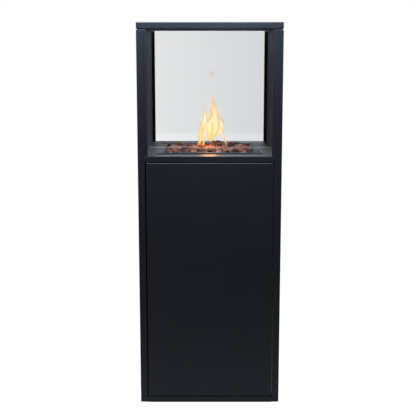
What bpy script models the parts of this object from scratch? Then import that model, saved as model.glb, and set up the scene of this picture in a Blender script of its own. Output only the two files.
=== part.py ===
# Outdoor gas fire column: a square sheet-steel cabinet with a glazed fire chamber above it.
# Metres. +Z is up, the door faces -Y, and the origin is on the floor under the centre.

import math

import bmesh
import bpy
from mathutils import Matrix, Vector

# Overall sizes
WIDTH = 0.515
DEPTH = 0.515
HEIGHT = 1.400

# Levels that make up the height
FOOT_LIFT = 0.004  # floor to the underside of the rails
RAIL_HEIGHT = 0.020
DOOR_GAP = 0.0035  # seen all round the door
CHAMBER_HEIGHT = 0.444  # deck to the top of the posts
CAP_GAP = 0.004  # shadow gap under the cap
CAP_HEIGHT = 0.022
SKIRT_PLAY = 0.0004  # cap's wall to the skirt that closes the shadow gap

# Sheet metal
SHEET = 0.002  # side panels, rails, base and cap
THIN_SHEET = 0.0015  # door, deck, liners and inner plates
FOLD_RADIUS = 0.003  # outside of the folds that show
DECK_FOLD_RADIUS = 0.002
POST_WIDTH = 0.025  # front and rear returns of the side panels
RAIL_LEG = 0.025
EDGE_UPTURN = 0.012  # folded edges of the base and inner plates
FIT = 0.0003  # gap between pieces that touch
FOLD_CLEARANCE = FOLD_RADIUS - SHEET + FIT  # sharp edges keep this off the inside of a fold
HOLE_CLEARANCE = 0.0003  # extra radius of a hole round its pin
PIERCE = 0.010  # length of a cutter that goes through one or two sheets

# Feet
FOOT_DIAMETER = 0.032
FOOT_INSET = 0.048

# Base
BASE_VENT_SIZE = (0.008, 0.090)
BASE_VENTS_FROM_SIDE = (0.055, 0.075)

# Door and its pivots
DOOR_DEPTH = 0.018
PIVOT_FROM_EDGE = 0.012
PIVOT_FROM_FACE = 0.007
PIVOT_PIN_DIAMETER = 0.006
PIVOT_COLLAR_DIAMETER = 0.010
PIVOT_PIN_REACH = 0.008  # into the door past its flange
HINGE_LEAF = 0.002
HINGE_LEAF_LENGTH = 0.034
STRIKE_OVERLAP = 0.009  # door edge behind which the strike lip stands

# Push latch
LATCH_HEIGHT = 0.467
LATCH_FROM_EDGE = 0.026
LATCH_SIZE = 0.016
LATCH_BODY_LENGTH = 0.046
PLUNGER_DIAMETER = 0.008
PLUNGER_LENGTH = 0.032
PLUNGER_SHOWN = 0.008
PLUNGER_TRAVEL = 0.003
STRIKER_DIAMETER = 0.018
STRIKER_THICKNESS = 0.0012

# Glazing
GLASS_THICKNESS = 0.005
GLASS_AIR_GAP = 0.033  # deck to the lower edge of a pane
GLASS_TOP_GAP = 0.004  # pane to the top of the posts
CHANNEL_WIDTH = 0.0107
CHANNEL_WALL = 0.0018
GLASS_PLAY = 0.0003

# Deck and fire bed
BED_WIDTH = 0.335
BED_DEPTH = 0.300
SLOT_WIDTH = 0.388
SLOT_DEPTH = 0.028
SLOT_FROM_FACE = 0.076
TRAY_DEPTH = 0.058
TRAY_RIM = 0.009
GRATE_BELOW_DECK = 0.022
GRATE_SLOTS = 11
GRATE_SLOT_WIDTH = 0.008
STONE_PITCH = 0.046
BED_ABOVE_DECK = 0.015
BED_ROUGHNESS = 0.012

# Burner
BURNER_DIAMETER = 0.124
BURNER_HEIGHT = 0.026
BURNER_WALL = 0.003
BURNER_PORTS = 8
PORT_DIAMETER = 0.006
MIXING_TUBE_DIAMETER = 0.030
MIXING_TUBE_DROP = 0.044  # under the tray
AIR_PORT_DIAMETER = 0.012
JET_STUB_DIAMETER = 0.010
JET_STUB_LENGTH = 0.010
JET_PLUG_LENGTH = 0.006
JET_NIPPLE_LENGTH = 0.006
JET_BORE = 0.002
SUPPLY_PIPE_DIAMETER = 0.008

# Pilot
PILOT_FROM_CENTRE = 0.080
PILOT_SPREAD = 0.014
PILOT_SHELF_HEIGHT = 0.016
CERAMIC_DIAMETER = 0.007
PROBE_DIAMETER = 0.0045
PROBE_TAIL = 0.010  # under the tray
PROBE_TIP_GAP = 0.002  # tips to the grate
CERAMIC_ABOVE_SHELF = 0.006
CERAMIC_TAPER = 0.002
LEAD_DIAMETER = 0.003

# Control compartment, just under the deck
CONTROL_SETBACK = 0.0575  # front face of the heater to the control plate
CONTROL_HEIGHT = 0.150  # deck to the heat shield
CONTROLS_BELOW_DECK = 0.080
KNOB_DIAMETER = 0.046
KNOB_LENGTH = 0.022
KNOB_TRAVEL = 0.004
SPINDLE_DIAMETER = 0.008
VALVE_WIDTH = 0.036
VALVE_HEIGHT = 0.036
VALVE_LENGTH = 0.046
INLET_DIAMETER = 0.012
INLET_DROP = 0.014  # under the heat shield
SPINDLE_DEPTH = 0.0207  # of its bore in the valve
IGNITER_OFFSET = 0.095
IGNITER_DIAMETER = 0.020
IGNITER_LENGTH = 0.045
BUTTON_DIAMETER = 0.012
BUTTON_SHOWN = 0.009
BUTTON_HIDDEN = 0.016
BUTTON_TRAVEL = 0.006
BUTTON_CHAMFER = 0.0015
BEZEL_HEIGHT = 0.003
BEZEL_CHAMFER = 0.001
TILT_SWITCH_SIZE = (0.044, 0.026, 0.020)

# Gas bottle, a standard size
BOTTLE_DIAMETER = 0.306
BOTTLE_SHOULDER = 0.470  # height of its neck
BOTTLE_WALL = 0.003
DOME_SHARE = 0.45  # height of the end domes over their radius
BOTTLE_FOOT_DIAMETER = 0.220
BOTTLE_FOOT_HEIGHT = 0.022
BOTTLE_FOOT_PLAY = 0.003  # inside the ring that it stands in
BOTTLE_SETBACK = 0.020  # behind the middle of the heater
NECK_DIAMETER = 0.050
NECK_BORE = 0.026
COLLAR_DIAMETER = 0.190
COLLAR_TOP = 0.575
COLLAR_SHEET = 0.0025
COLLAR_WINDOW = 0.120
COLLAR_RIM = 0.018  # left above and below the window
COLLAR_GRIP_HEIGHT = 0.030
COLLAR_GRIP_FROM_TOP = 0.020
BOTTLE_VALVE_DIAMETER = 0.030
BOTTLE_VALVE_HEIGHT = 0.062
OUTLET_ABOVE_NECK = 0.032
OUTLET_REACH = 0.034
OUTLET_DIAMETER = 0.021
HANDWHEEL_DIAMETER = 0.052
HANDWHEEL_HEIGHT = 0.018
REGULATOR_DIAMETER = 0.066
REGULATOR_HEIGHT = 0.026
REGULATOR_FROM_OUTLET = 0.050
NUT_DIAMETER = 0.030
NUT_LENGTH = 0.020
HOSE_DIAMETER = 0.014
HOSE_TAIL = 0.024
LOCATING_RING_HEIGHT = 0.014

# Rear panel
REAR_LAP = 0.010  # behind the posts
VENT_COUNT = 5
VENT_SIZE = (0.180, 0.006)
VENT_PITCH = 0.016
LOW_VENT_HEIGHT = 0.060
SCREW_DIAMETER = 0.004
SCREW_HEAD_DIAMETER = 0.009
SCREW_HEAD_HEIGHT = 0.002
SCREW_LENGTH = 0.010
REAR_SCREW_OFFSET = 0.200

# Segments of round pieces
FINE = 24
ROUND = 20
SMALL = 10

# Derived levels and half sizes
HALF_W = WIDTH / 2
HALF_D = DEPTH / 2
INNER_W = HALF_W - SHEET
INNER_D = HALF_D - SHEET
POST_TOP = HEIGHT - CAP_HEIGHT - CAP_GAP
DECK_TOP = POST_TOP - CHAMBER_HEIGHT
UPPER_RAIL_LOW = DECK_TOP - RAIL_HEIGHT
LOWER_RAIL_HIGH = FOOT_LIFT + RAIL_HEIGHT
PAN_LOW = FOOT_LIFT + SHEET + FIT
PAN_TOP = PAN_LOW + SHEET
OPENING_HALF = HALF_W - POST_WIDTH
DOOR_HALF = OPENING_HALF - DOOR_GAP
DOOR_LOW = LOWER_RAIL_HIGH + DOOR_GAP
DOOR_HIGH = UPPER_RAIL_LOW - DOOR_GAP
DOOR_BACK = -HALF_D + DOOR_DEPTH
PIVOT = Vector((-DOOR_HALF + PIVOT_FROM_EDGE, -HALF_D + PIVOT_FROM_FACE, 0))
CONTROL_FACE = -HALF_D + CONTROL_SETBACK
CONTROL_BACK = CONTROL_FACE + THIN_SHEET + FIT
CONTROL_Z = DECK_TOP - CONTROLS_BELOW_DECK
SHIELD_TOP = DECK_TOP - CONTROL_HEIGHT
TRAY_FLOOR = DECK_TOP + FIT - TRAY_DEPTH + 2 * THIN_SHEET
GRATE_TOP = DECK_TOP - GRATE_BELOW_DECK
REAR_PANEL_BACK = INNER_D - FIT
BOTTLE = Vector((0, BOTTLE_SETBACK, PAN_TOP + FIT))

FINISHES = {
    "powder_coat": ((0.030, 0.034, 0.042), 0.42, 0.0),
    "deck_coat": ((0.045, 0.049, 0.056), 0.38, 0.0),
    "liner_steel": ((0.020, 0.021, 0.024), 0.25, 0.6),
    "zinc_steel": ((0.56, 0.57, 0.58), 0.38, 1.0),
    "stainless": ((0.62, 0.61, 0.59), 0.28, 1.0),
    "aluminised": ((0.48, 0.48, 0.47), 0.45, 1.0),
    "cast_iron": ((0.06, 0.06, 0.06), 0.70, 0.5),
    "brass": ((0.72, 0.52, 0.22), 0.30, 1.0),
    "glass": ((0.90, 0.95, 0.94), 0.03, 0.0),
    "lava_stone": ((0.17, 0.09, 0.07), 0.95, 0.0),
    "ceramic": ((0.86, 0.85, 0.80), 0.35, 0.0),
    "black_plastic": ((0.018, 0.018, 0.019), 0.45, 0.0),
    "red_plastic": ((0.55, 0.03, 0.02), 0.40, 0.0),
    "rubber": ((0.020, 0.020, 0.020), 0.80, 0.0),
    "hose_rubber": ((0.55, 0.17, 0.03), 0.55, 0.0),
    "bottle_paint": ((0.22, 0.25, 0.27), 0.40, 0.0),
    "regulator_grey": ((0.30, 0.31, 0.32), 0.45, 0.3),
}


# ---- scene and materials


def clear_scene():
    for obj in list(bpy.data.objects):
        bpy.data.objects.remove(obj, do_unlink=True)


def new_collection(name):
    collection = bpy.data.collections.new(name)
    bpy.context.scene.collection.children.link(collection)
    return collection


def make_material(name, colour, roughness, metallic):
    material = bpy.data.materials.new(name)
    material.use_nodes = True
    shader = material.node_tree.nodes["Principled BSDF"]
    shader.inputs["Base Color"].default_value = (*colour, 1.0)
    shader.inputs["Roughness"].default_value = roughness
    shader.inputs["Metallic"].default_value = metallic
    material.diffuse_color = (*colour, 1.0)
    return material


clear_scene()
PARTS = new_collection("outdoor_heater")
CUTTERS = new_collection("cutters")
MATERIALS = {name: make_material(name, *look) for name, look in FINISHES.items()}


# ---- modelling helpers


def add_object(name, mesh, location, finish=None):
    obj = bpy.data.objects.new(name, mesh)
    obj.location = location
    if finish is None:
        CUTTERS.objects.link(obj)
        obj.display_type = "WIRE"
        obj.hide_render = True
    else:
        PARTS.objects.link(obj)
        obj.data.materials.append(MATERIALS[finish])
    return obj


def mesh_from(bm, name):
    bmesh.ops.recalc_face_normals(bm, faces=bm.faces)
    mesh = bpy.data.meshes.new(name)
    bm.to_mesh(mesh)
    bm.free()
    return mesh


# A box between two corners, given as a (low, high) pair along each axis.
def block(name, finish, x, y, z):
    low = Vector((x[0], y[0], z[0]))
    high = Vector((x[1], y[1], z[1]))
    bm = bmesh.new()
    bmesh.ops.create_cube(bm, size=1.0)
    bmesh.ops.scale(bm, vec=high - low, verts=bm.verts)
    return add_object(name, mesh_from(bm, name), (low + high) / 2, finish)


# A round bar along an axis, centred on its location.
def bar(name, finish, centre, diameter, length, axis="Z", segments=ROUND):
    turn = {"X": Matrix.Rotation(math.pi / 2, 4, "Y"), "Y": Matrix.Rotation(math.pi / 2, 4, "X")}
    bm = bmesh.new()
    bmesh.ops.create_cone(
        bm,
        cap_ends=True,
        segments=segments,
        radius1=diameter / 2,
        radius2=diameter / 2,
        depth=length,
        matrix=turn.get(axis, Matrix.Identity(4)),
    )
    obj = add_object(name, mesh_from(bm, name), centre, finish)
    shade_round(obj)
    return obj


def shade_round(obj):
    obj.data.shade_smooth()
    obj.data.set_sharp_from_angle(angle=math.radians(35))


def add_solidify(obj, thickness, offset):
    solid = obj.modifiers.new("sheet", "SOLIDIFY")
    solid.thickness = thickness
    solid.offset = offset
    solid.use_even_offset = True


def add_fold(obj, radius, segments):
    fold = obj.modifiers.new("fold", "BEVEL")
    fold.width = radius
    fold.segments = segments
    fold.limit_method = "ANGLE"


# A pan folded from sheet: the box's faces but one, with the sheet inside the given size.
def pan(name, finish, x, y, z, open_side, sheet, fold_radius=0.0, fold_segments=2):
    obj = block(name, finish, x, y, z)
    bm = bmesh.new()
    bm.from_mesh(obj.data)
    bm.normal_update()
    gone = [face for face in bm.faces if face.normal.dot(Vector(open_side)) > 0.9]
    bmesh.ops.delete(bm, geom=gone, context="FACES")
    bm.to_mesh(obj.data)
    bm.free()
    if fold_radius:
        add_fold(obj, fold_radius, fold_segments)
    add_solidify(obj, sheet, -1.0)
    return obj


# A strip folded along its length: a line through the middle of the sheet, drawn out along an axis.
def folded_strip(name, finish, line, axis, start, end, sheet):
    place = {
        "X": lambda u, v, t: (t, u, v),
        "Y": lambda u, v, t: (u, t, v),
        "Z": lambda u, v, t: (u, v, t),
    }[axis]
    bm = bmesh.new()
    near = [bm.verts.new(place(u, v, start)) for u, v in line]
    far = [bm.verts.new(place(u, v, end)) for u, v in line]
    for i in range(len(line) - 1):
        bm.faces.new((near[i], near[i + 1], far[i + 1], far[i]))
    obj = add_object(name, mesh_from(bm, name), (0, 0, 0), finish)
    add_solidify(obj, sheet, 0.0)
    return obj


# A turned piece: (radius, height) points that start at the top of its outer side and run down it.
def turned(name, finish, profile, location, segments=ROUND, closed=False):
    mesh = bpy.data.meshes.new(name)
    count = len(profile)
    edges = [(i, (i + 1) % count) for i in range(count if closed else count - 1)]
    mesh.from_pydata([(r, 0.0, h) for r, h in profile], edges, [])
    obj = add_object(name, mesh, location, finish)
    screw = obj.modifiers.new("turn", "SCREW")
    screw.steps = segments
    screw.render_steps = segments
    screw.use_merge_vertices = True
    screw.merge_threshold = 0.00005
    screw.use_smooth_shade = True
    return obj


# A tube along a route, as a solid rod with flat ends.
def tube(name, finish, route, diameter):
    curve = bpy.data.curves.new(name, "CURVE")
    curve.dimensions = "3D"
    curve.bevel_depth = diameter / 2
    curve.bevel_resolution = 2
    curve.use_fill_caps = True
    spline = curve.splines.new("POLY")
    spline.points.add(len(route) - 1)
    for point, place in zip(spline.points, route):
        point.co = (*place, 1.0)
    return add_object(name, curve, (0, 0, 0), finish)


# A smooth curve through every point of a route (Catmull-Rom), with its first and last spans
# left straight so that the tube's ends are square to what they meet.
def smooth_route(points, steps):
    points = [Vector(p) for p in points]
    route = [points[0]]
    for a, b, c, d in zip(points, points[1:], points[2:], points[3:]):
        for i in range(steps):
            t = i / steps
            cubic = (2 * b) + (c - a) * t
            cubic += (2 * a - 5 * b + 4 * c - d) * t**2
            cubic += (3 * b - a - 3 * c + d) * t**3
            route.append(cubic / 2)
    return [*route, points[-2], points[-1]]


def combine(obj, other, operation):
    boolean = obj.modifiers.new(operation.lower(), "BOOLEAN")
    boolean.operation = operation
    boolean.object = other


def cut(obj, *cutters):
    for cutter in cutters:
        combine(obj, cutter, "DIFFERENCE")


def weld_on(obj, *others):
    for other in others:
        combine(obj, other, "UNION")


def hole(name, centre, diameter, length, axis="Z", segments=ROUND):
    return bar(name, None, centre, diameter + 2 * HOLE_CLEARANCE, length, axis, segments)


def pivot_empty(name, location):
    empty = bpy.data.objects.new(name, None)
    empty.location = location
    PARTS.objects.link(empty)
    return empty


# Hang an object, and the shapes that cut it or are welded to it, on a pivot.
def attach(obj, pivot):
    group = [obj] + [m.object for m in obj.modifiers if m.type == "BOOLEAN"]
    for member in group:
        member.parent = pivot
        member.location -= pivot.location


# ---- cabinet


def side_panel(name, side):
    x = sorted((side * OPENING_HALF, side * HALF_W))
    return pan(
        name,
        "powder_coat",
        x,
        (-HALF_D, HALF_D),
        (FOOT_LIFT, POST_TOP),
        (-side, 0, 0),
        SHEET,
        FOLD_RADIUS,
    )


# An angle between the posts: a face flush with them and a leg towards the cabinet opening.
def rail(name, front, low, leg_low):
    face = front * (HALF_D - SHEET / 2)
    leg_z = low + SHEET / 2 if leg_low else low + RAIL_HEIGHT - SHEET / 2
    free_z = low + RAIL_HEIGHT if leg_low else low
    line = [(face, free_z), (face, leg_z), (front * (HALF_D - RAIL_LEG), leg_z)]
    reach = OPENING_HALF - FIT
    return folded_strip(name, "powder_coat", line, "X", -reach, reach, SHEET)


def base_pan():
    reach_w = INNER_W - FIT
    reach_d = INNER_D - FIT
    obj = pan(
        "base_pan",
        "powder_coat",
        (-reach_w, reach_w),
        (-reach_d, reach_d),
        (PAN_LOW, PAN_LOW + EDGE_UPTURN),
        (0, 0, 1),
        SHEET,
        FOLD_RADIUS,
    )
    half_w, half_d = BASE_VENT_SIZE[0] / 2, BASE_VENT_SIZE[1] / 2
    for side in (-1, 1):
        for i, inset in enumerate(BASE_VENTS_FROM_SIDE):
            x = side * (reach_w - inset)
            name = f"base_vent_{i}_{side}"
            cut(obj, block(name, None, (x - half_w, x + half_w), (-half_d, half_d), (0, PAN_TOP + PIERCE)))
    weld_on(obj, locating_ring())
    return obj


# The ring welded to the base that the bottle's foot stands in.
def locating_ring():
    inner = BOTTLE_FOOT_DIAMETER / 2 + BOTTLE_FOOT_PLAY
    outer = inner + THIN_SHEET * 2
    top = LOCATING_RING_HEIGHT
    low = -FIT - SHEET / 2
    profile = [(outer, top), (outer, low), (inner, low), (inner, top)]
    return turned("locating_ring", None, profile, BOTTLE, FINE, closed=True)


def feet():
    x = HALF_W - FOOT_INSET
    y = HALF_D - FOOT_INSET
    height = PAN_LOW - FIT
    r = FOOT_DIAMETER / 2
    profile = [(0, height), (r * 0.9, height), (r, height * 0.5), (r * 0.92, 0), (0, 0)]
    for name, sx, sy in (
        ("foot_front_left", -1, -1),
        ("foot_front_right", 1, -1),
        ("foot_rear_left", -1, 1),
        ("foot_rear_right", 1, 1),
    ):
        turned(name, "rubber", profile, (sx * x, sy * y, 0), ROUND)


def rear_panel():
    reach = OPENING_HALF + REAR_LAP
    obj = block(
        "rear_panel",
        "powder_coat",
        (-reach, reach),
        (REAR_PANEL_BACK - THIN_SHEET, REAR_PANEL_BACK),
        (LOWER_RAIL_HIGH + FIT, UPPER_RAIL_LOW - FIT),
    )
    half_length = VENT_SIZE[0] / 2
    half_height = VENT_SIZE[1] / 2
    stack = (VENT_COUNT - 1) * VENT_PITCH
    high_vents = (SHIELD_TOP + UPPER_RAIL_LOW - stack) / 2
    for group, start in (("low", LOW_VENT_HEIGHT), ("high", high_vents)):
        for i in range(VENT_COUNT):
            z = start + i * VENT_PITCH
            vent = block(
                f"rear_vent_{group}_{i}",
                None,
                (-half_length, half_length),
                (INNER_D - SHEET * 3, HALF_D),
                (z - half_height, z + half_height),
            )
            cut(obj, vent)
    return obj


# Low-head screws that hold the rear panel to the heat shield's rear flange. The panel's foot
# stands behind the lower rail.
def rear_screws(panel, shield):
    z = SHIELD_TOP - THIN_SHEET + EDGE_UPTURN / 2
    head = SCREW_HEAD_DIAMETER / 2
    shank = SCREW_DIAMETER / 2
    for name, side in (("rear_screw_left", -1), ("rear_screw_right", 1)):
        place = (side * REAR_SCREW_OFFSET, REAR_PANEL_BACK, z)
        profile = [
            (0, SCREW_HEAD_HEIGHT),
            (head * 0.7, SCREW_HEAD_HEIGHT),
            (head, SCREW_HEAD_HEIGHT / 2),
            (head, FIT),
            (shank, FIT),
            (shank, FIT - SCREW_LENGTH),
            (0, FIT - SCREW_LENGTH),
        ]
        screw = turned(name, "zinc_steel", profile, place, SMALL)
        screw.rotation_euler = (-math.pi / 2, 0, 0)
        for piece in (panel, shield):
            cutter = hole(f"{name}_in_{piece.name}", place, SCREW_DIAMETER, 2 * PIERCE, "Y", SMALL)
            cut(piece, cutter)


# ---- door


def door_skin():
    obj = pan(
        "door_skin",
        "powder_coat",
        (-DOOR_HALF, DOOR_HALF),
        (-HALF_D, DOOR_BACK),
        (DOOR_LOW, DOOR_HIGH),
        (0, 1, 0),
        THIN_SHEET,
        FOLD_RADIUS,
        3,
    )
    for end, z in (("lower", DOOR_LOW), ("upper", DOOR_HIGH)):
        centre = (PIVOT.x, PIVOT.y, z)
        cut(obj, hole(f"door_hole_{end}", centre, PIVOT_PIN_DIAMETER, PIERCE, segments=SMALL))
    return obj


def door_liner():
    inset = THIN_SHEET + FIT
    flange = DOOR_DEPTH - PIVOT_FROM_FACE - PIVOT_COLLAR_DIAMETER / 2 - HOLE_CLEARANCE
    return pan(
        "door_liner",
        "zinc_steel",
        (-DOOR_HALF + inset, DOOR_HALF - inset),
        (DOOR_BACK - flange, DOOR_BACK),
        (DOOR_LOW + inset, DOOR_HIGH - inset),
        (0, -1, 0),
        THIN_SHEET,
        FOLD_RADIUS,
    )


# One pivot: a leaf on the rail's leg and a pin whose collar carries the door's flange.
# "up" is 1 at the foot of the door and -1 at its head.
def door_pivot(end, rail_piece, rail_face, up):
    leaf = sorted((rail_face + up * FIT, rail_face + up * (FIT + HINGE_LEAF)))
    bracket = block(
        f"hinge_bracket_{end}",
        "powder_coat",
        (-OPENING_HALF + FIT, -OPENING_HALF + FIT + HINGE_LEAF_LENGTH),
        (-INNER_D + FIT, -HALF_D + RAIL_LEG),
        leaf,
    )
    shank = PIVOT_PIN_DIAMETER / 2
    collar = PIVOT_COLLAR_DIAMETER / 2
    tail = -SHEET
    collar_low = 2 * FIT + HINGE_LEAF
    collar_high = DOOR_GAP - FIT
    top = DOOR_GAP + THIN_SHEET + PIVOT_PIN_REACH
    profile = [
        (0, top),
        (shank, top),
        (shank, collar_high),
        (collar, collar_high),
        (collar, collar_low),
        (shank, collar_low),
        (shank, tail),
        (0, tail),
    ]
    pin = turned(f"hinge_pin_{end}", "stainless", profile, (PIVOT.x, PIVOT.y, rail_face), SMALL)
    if up < 0:
        pin.rotation_euler = (math.pi, 0, 0)
    for piece in (bracket, rail_piece):
        centre = (PIVOT.x, PIVOT.y, rail_face)
        cut(piece, hole(f"pin_hole_{piece.name}", centre, PIVOT_PIN_DIAMETER, PIERCE, segments=SMALL))


# A strip behind the latch-side post, whose lip stops the closed door.
def strike_strip():
    plate_y = -INNER_D + FIT + THIN_SHEET / 2
    lip_y = DOOR_BACK + FIT + THIN_SHEET / 2
    web_x = OPENING_HALF + DOOR_GAP
    line = [
        (INNER_W - FIT - FOLD_RADIUS, plate_y),
        (web_x, plate_y),
        (web_x, lip_y),
        (DOOR_HALF - STRIKE_OVERLAP, lip_y),
    ]
    low = LOWER_RAIL_HIGH + DOOR_GAP
    high = UPPER_RAIL_LOW - DOOR_GAP
    return folded_strip("strike_strip", "zinc_steel", line, "Z", low, high, THIN_SHEET)


def push_latch():
    x = DOOR_HALF - LATCH_FROM_EDGE
    half = LATCH_SIZE / 2
    face = DOOR_BACK + FIT + STRIKER_THICKNESS + FIT + PLUNGER_SHOWN
    back = face + LATCH_BODY_LENGTH
    centre = LATCH_HEIGHT
    body = block(
        "latch_body",
        "black_plastic",
        (x - half, x + half),
        (face, back),
        (centre - half, centre + half),
    )
    ear_y = (face + back) / 2
    ear = block(
        "latch_ear",
        None,
        (x, INNER_W - FIT),
        (ear_y, ear_y + THIN_SHEET * 2),
        (centre - LATCH_SIZE, centre + LATCH_SIZE),
    )
    weld_on(body, ear)
    bore_end = face - PLUNGER_SHOWN + PLUNGER_LENGTH + PLUNGER_TRAVEL + 2 * FIT
    bore_start = face - PLUNGER_SHOWN
    bore_length = bore_end - bore_start
    middle = (x, bore_start + bore_length / 2, centre)
    cut(body, hole("latch_bore", middle, PLUNGER_DIAMETER, bore_length, "Y", SMALL))
    tip = Vector((x, face - PLUNGER_SHOWN, centre))
    r = PLUNGER_DIAMETER / 2
    profile = [(0, 0), (r * 0.8, 0), (r, -r / 4), (r, -PLUNGER_LENGTH), (0, -PLUNGER_LENGTH)]
    plunger = turned("latch_plunger", "black_plastic", profile, tip, SMALL)
    plunger.rotation_euler = (math.pi / 2, 0, 0)
    disc = (x, DOOR_BACK + FIT + STRIKER_THICKNESS / 2, centre)
    return bar("latch_striker", "zinc_steel", disc, STRIKER_DIAMETER, STRIKER_THICKNESS, "Y")


# ---- fire chamber


# A heat shield that stands off the side panel, with its edges folded out to meet it.
def chamber_liner(name, side):
    x = sorted((side * OPENING_HALF, side * (INNER_W - FOLD_CLEARANCE)))
    return pan(
        name,
        "liner_steel",
        x,
        (-INNER_D + FIT, INNER_D - FIT),
        (DECK_TOP + FIT, POST_TOP - SHEET - FOLD_CLEARANCE),
        (side, 0, 0),
        THIN_SHEET,
    )


# Glass channel beside a post: slotted for the pane, and solid under it.
def glass_channel(name, side, front):
    depth = GLASS_THICKNESS + 2 * GLASS_PLAY + 2 * CHANNEL_WALL
    outer_y = front * (HALF_D - FIT)
    inner_y = front * (HALF_D - FIT - depth)
    outer_x = side * (OPENING_HALF - FIT)
    inner_x = side * (OPENING_HALF - FIT - CHANNEL_WIDTH)
    obj = block(
        name,
        "powder_coat",
        sorted((outer_x, inner_x)),
        sorted((outer_y, inner_y)),
        (DECK_TOP + FIT, POST_TOP),
    )
    slot = block(
        f"{name}_slot",
        None,
        sorted((outer_x - side * CHANNEL_WALL, inner_x - side * CHANNEL_WIDTH)),
        sorted((outer_y - front * CHANNEL_WALL, inner_y + front * CHANNEL_WALL)),
        (DECK_TOP + GLASS_AIR_GAP - FIT, HEIGHT),
    )
    cut(obj, slot)
    return obj


def pane(name, front):
    half = OPENING_HALF - FIT - CHANNEL_WALL - 2 * GLASS_PLAY
    near = HALF_D - FIT - CHANNEL_WALL - GLASS_PLAY
    y = sorted((front * near, front * (near - GLASS_THICKNESS)))
    z = (DECK_TOP + GLASS_AIR_GAP, POST_TOP - GLASS_TOP_GAP)
    return block(name, "glass", (-half, half), y, z)


def deck_plate():
    reach_w = INNER_W - FIT
    reach_d = INNER_D - FIT
    obj = pan(
        "deck_plate",
        "deck_coat",
        (-reach_w, reach_w),
        (-reach_d, reach_d),
        (UPPER_RAIL_LOW + SHEET + FIT, DECK_TOP),
        (0, 0, -1),
        THIN_SHEET,
        DECK_FOLD_RADIUS,
    )
    z = (DECK_TOP - RAIL_HEIGHT / 2, DECK_TOP + RAIL_HEIGHT)
    bed = block("bed_opening", None, (-BED_WIDTH / 2, BED_WIDTH / 2), (-BED_DEPTH / 2, BED_DEPTH / 2), z)
    cut(obj, bed)
    for name, front in (("front_slot", -1), ("rear_slot", 1)):
        middle = front * (HALF_D - SLOT_FROM_FACE)
        y = (middle - SLOT_DEPTH / 2, middle + SLOT_DEPTH / 2)
        cut(obj, block(name, None, (-SLOT_WIDTH / 2, SLOT_WIDTH / 2), y, z))
    return obj


# A pan hung in the deck's opening by the flat rim welded round its top.
def burner_tray():
    half_w = BED_WIDTH / 2 - FIT
    half_d = BED_DEPTH / 2 - FIT
    rim_low = DECK_TOP + FIT
    top = rim_low + THIN_SHEET
    obj = pan(
        "burner_tray",
        "stainless",
        (-half_w, half_w),
        (-half_d, half_d),
        (top - TRAY_DEPTH, top),
        (0, 0, 1),
        THIN_SHEET,
    )
    reach_w = half_w + TRAY_RIM
    reach_d = half_d + TRAY_RIM
    inside_w = half_w - THIN_SHEET / 2
    inside_d = half_d - THIN_SHEET / 2
    rim = block("tray_rim", None, (-reach_w, reach_w), (-reach_d, reach_d), (rim_low, top))
    through = (rim_low - PIERCE, top + PIERCE)
    inside = block("tray_inside", None, (-inside_w, inside_w), (-inside_d, inside_d), through)
    cut(rim, inside)
    weld_on(obj, rim)
    cut(obj, hole("tray_centre_hole", (0, 0, TRAY_FLOOR), MIXING_TUBE_DIAMETER, PIERCE))
    weld_on(obj, pilot_bracket())
    for name, y, diameter in pilot_probes():
        place = (PILOT_FROM_CENTRE, y, TRAY_FLOOR)
        cut(obj, hole(f"tray_{name}_hole", place, diameter, PILOT_SHELF_HEIGHT * 3, segments=SMALL))
    return obj


# A slotted plate on folded legs, which holds the stones over the burner.
def stone_grate():
    half = BED_WIDTH / 2 - FIT - THIN_SHEET - FIT - THIN_SHEET
    reach = BED_DEPTH / 2 - FIT - THIN_SHEET - FIT - THIN_SHEET
    top = GRATE_TOP - THIN_SHEET / 2
    foot = TRAY_FLOOR + FIT
    line = [(-half, foot), (-half, top), (half, top), (half, foot)]
    obj = folded_strip("stone_grate", "aluminised", line, "Y", -reach, reach, THIN_SHEET)
    pitch = 2 * half / (GRATE_SLOTS + 1)
    for i in range(GRATE_SLOTS):
        x = -half + (i + 1) * pitch
        slot = block(
            f"grate_slot_{i}",
            None,
            (x - GRATE_SLOT_WIDTH / 2, x + GRATE_SLOT_WIDTH / 2),
            (-reach + STONE_PITCH / 2, reach - STONE_PITCH / 2),
            (GRATE_TOP - PIERCE, GRATE_TOP + PIERCE),
        )
        cut(obj, slot)
    return obj


# The heap of lava stones as one lumpy body: rounded humps a stone apart, in staggered rows.
def lava_bed():
    margin = 2 * (FIT + THIN_SHEET)
    size = Vector((BED_WIDTH - 2 * margin, BED_DEPTH - 2 * margin, 0))
    stones = [max(2, round(length / STONE_PITCH)) for length in size[:2]]
    bm = bmesh.new()
    bmesh.ops.create_grid(bm, x_segments=stones[0] * 3, y_segments=stones[1] * 3, size=0.5)
    bmesh.ops.scale(bm, vec=(size.x, size.y, 1), verts=bm.verts)
    base = GRATE_TOP + FIT
    full = DECK_TOP + BED_ABOVE_DECK - base
    for vert in bm.verts:
        u = (vert.co.x / size.x + 0.5) * stones[0]
        v = (vert.co.y / size.y + 0.5) * stones[1]
        hump = abs(math.sin(math.pi * (u + 0.5 * math.floor(v)))) * abs(math.sin(math.pi * v))
        edge = min(1.0, 4 * min(0.5 - abs(vert.co.x / size.x), 0.5 - abs(vert.co.y / size.y)))
        vert.co.z = full - BED_ROUGHNESS * (1 - hump) - 0.4 * BED_ROUGHNESS * (1 - edge)
    lower = bmesh.ops.extrude_face_region(bm, geom=list(bm.faces))["geom"]
    floor_faces = [item for item in lower if isinstance(item, bmesh.types.BMFace)]
    for vert in (item for item in lower if isinstance(item, bmesh.types.BMVert)):
        vert.co.z = 0
    bmesh.ops.dissolve_faces(bm, faces=floor_faces)
    obj = add_object("lava_bed", mesh_from(bm, "lava_bed"), (0, 0, base), "lava_stone")
    return obj


# ---- burner and pilot


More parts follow.
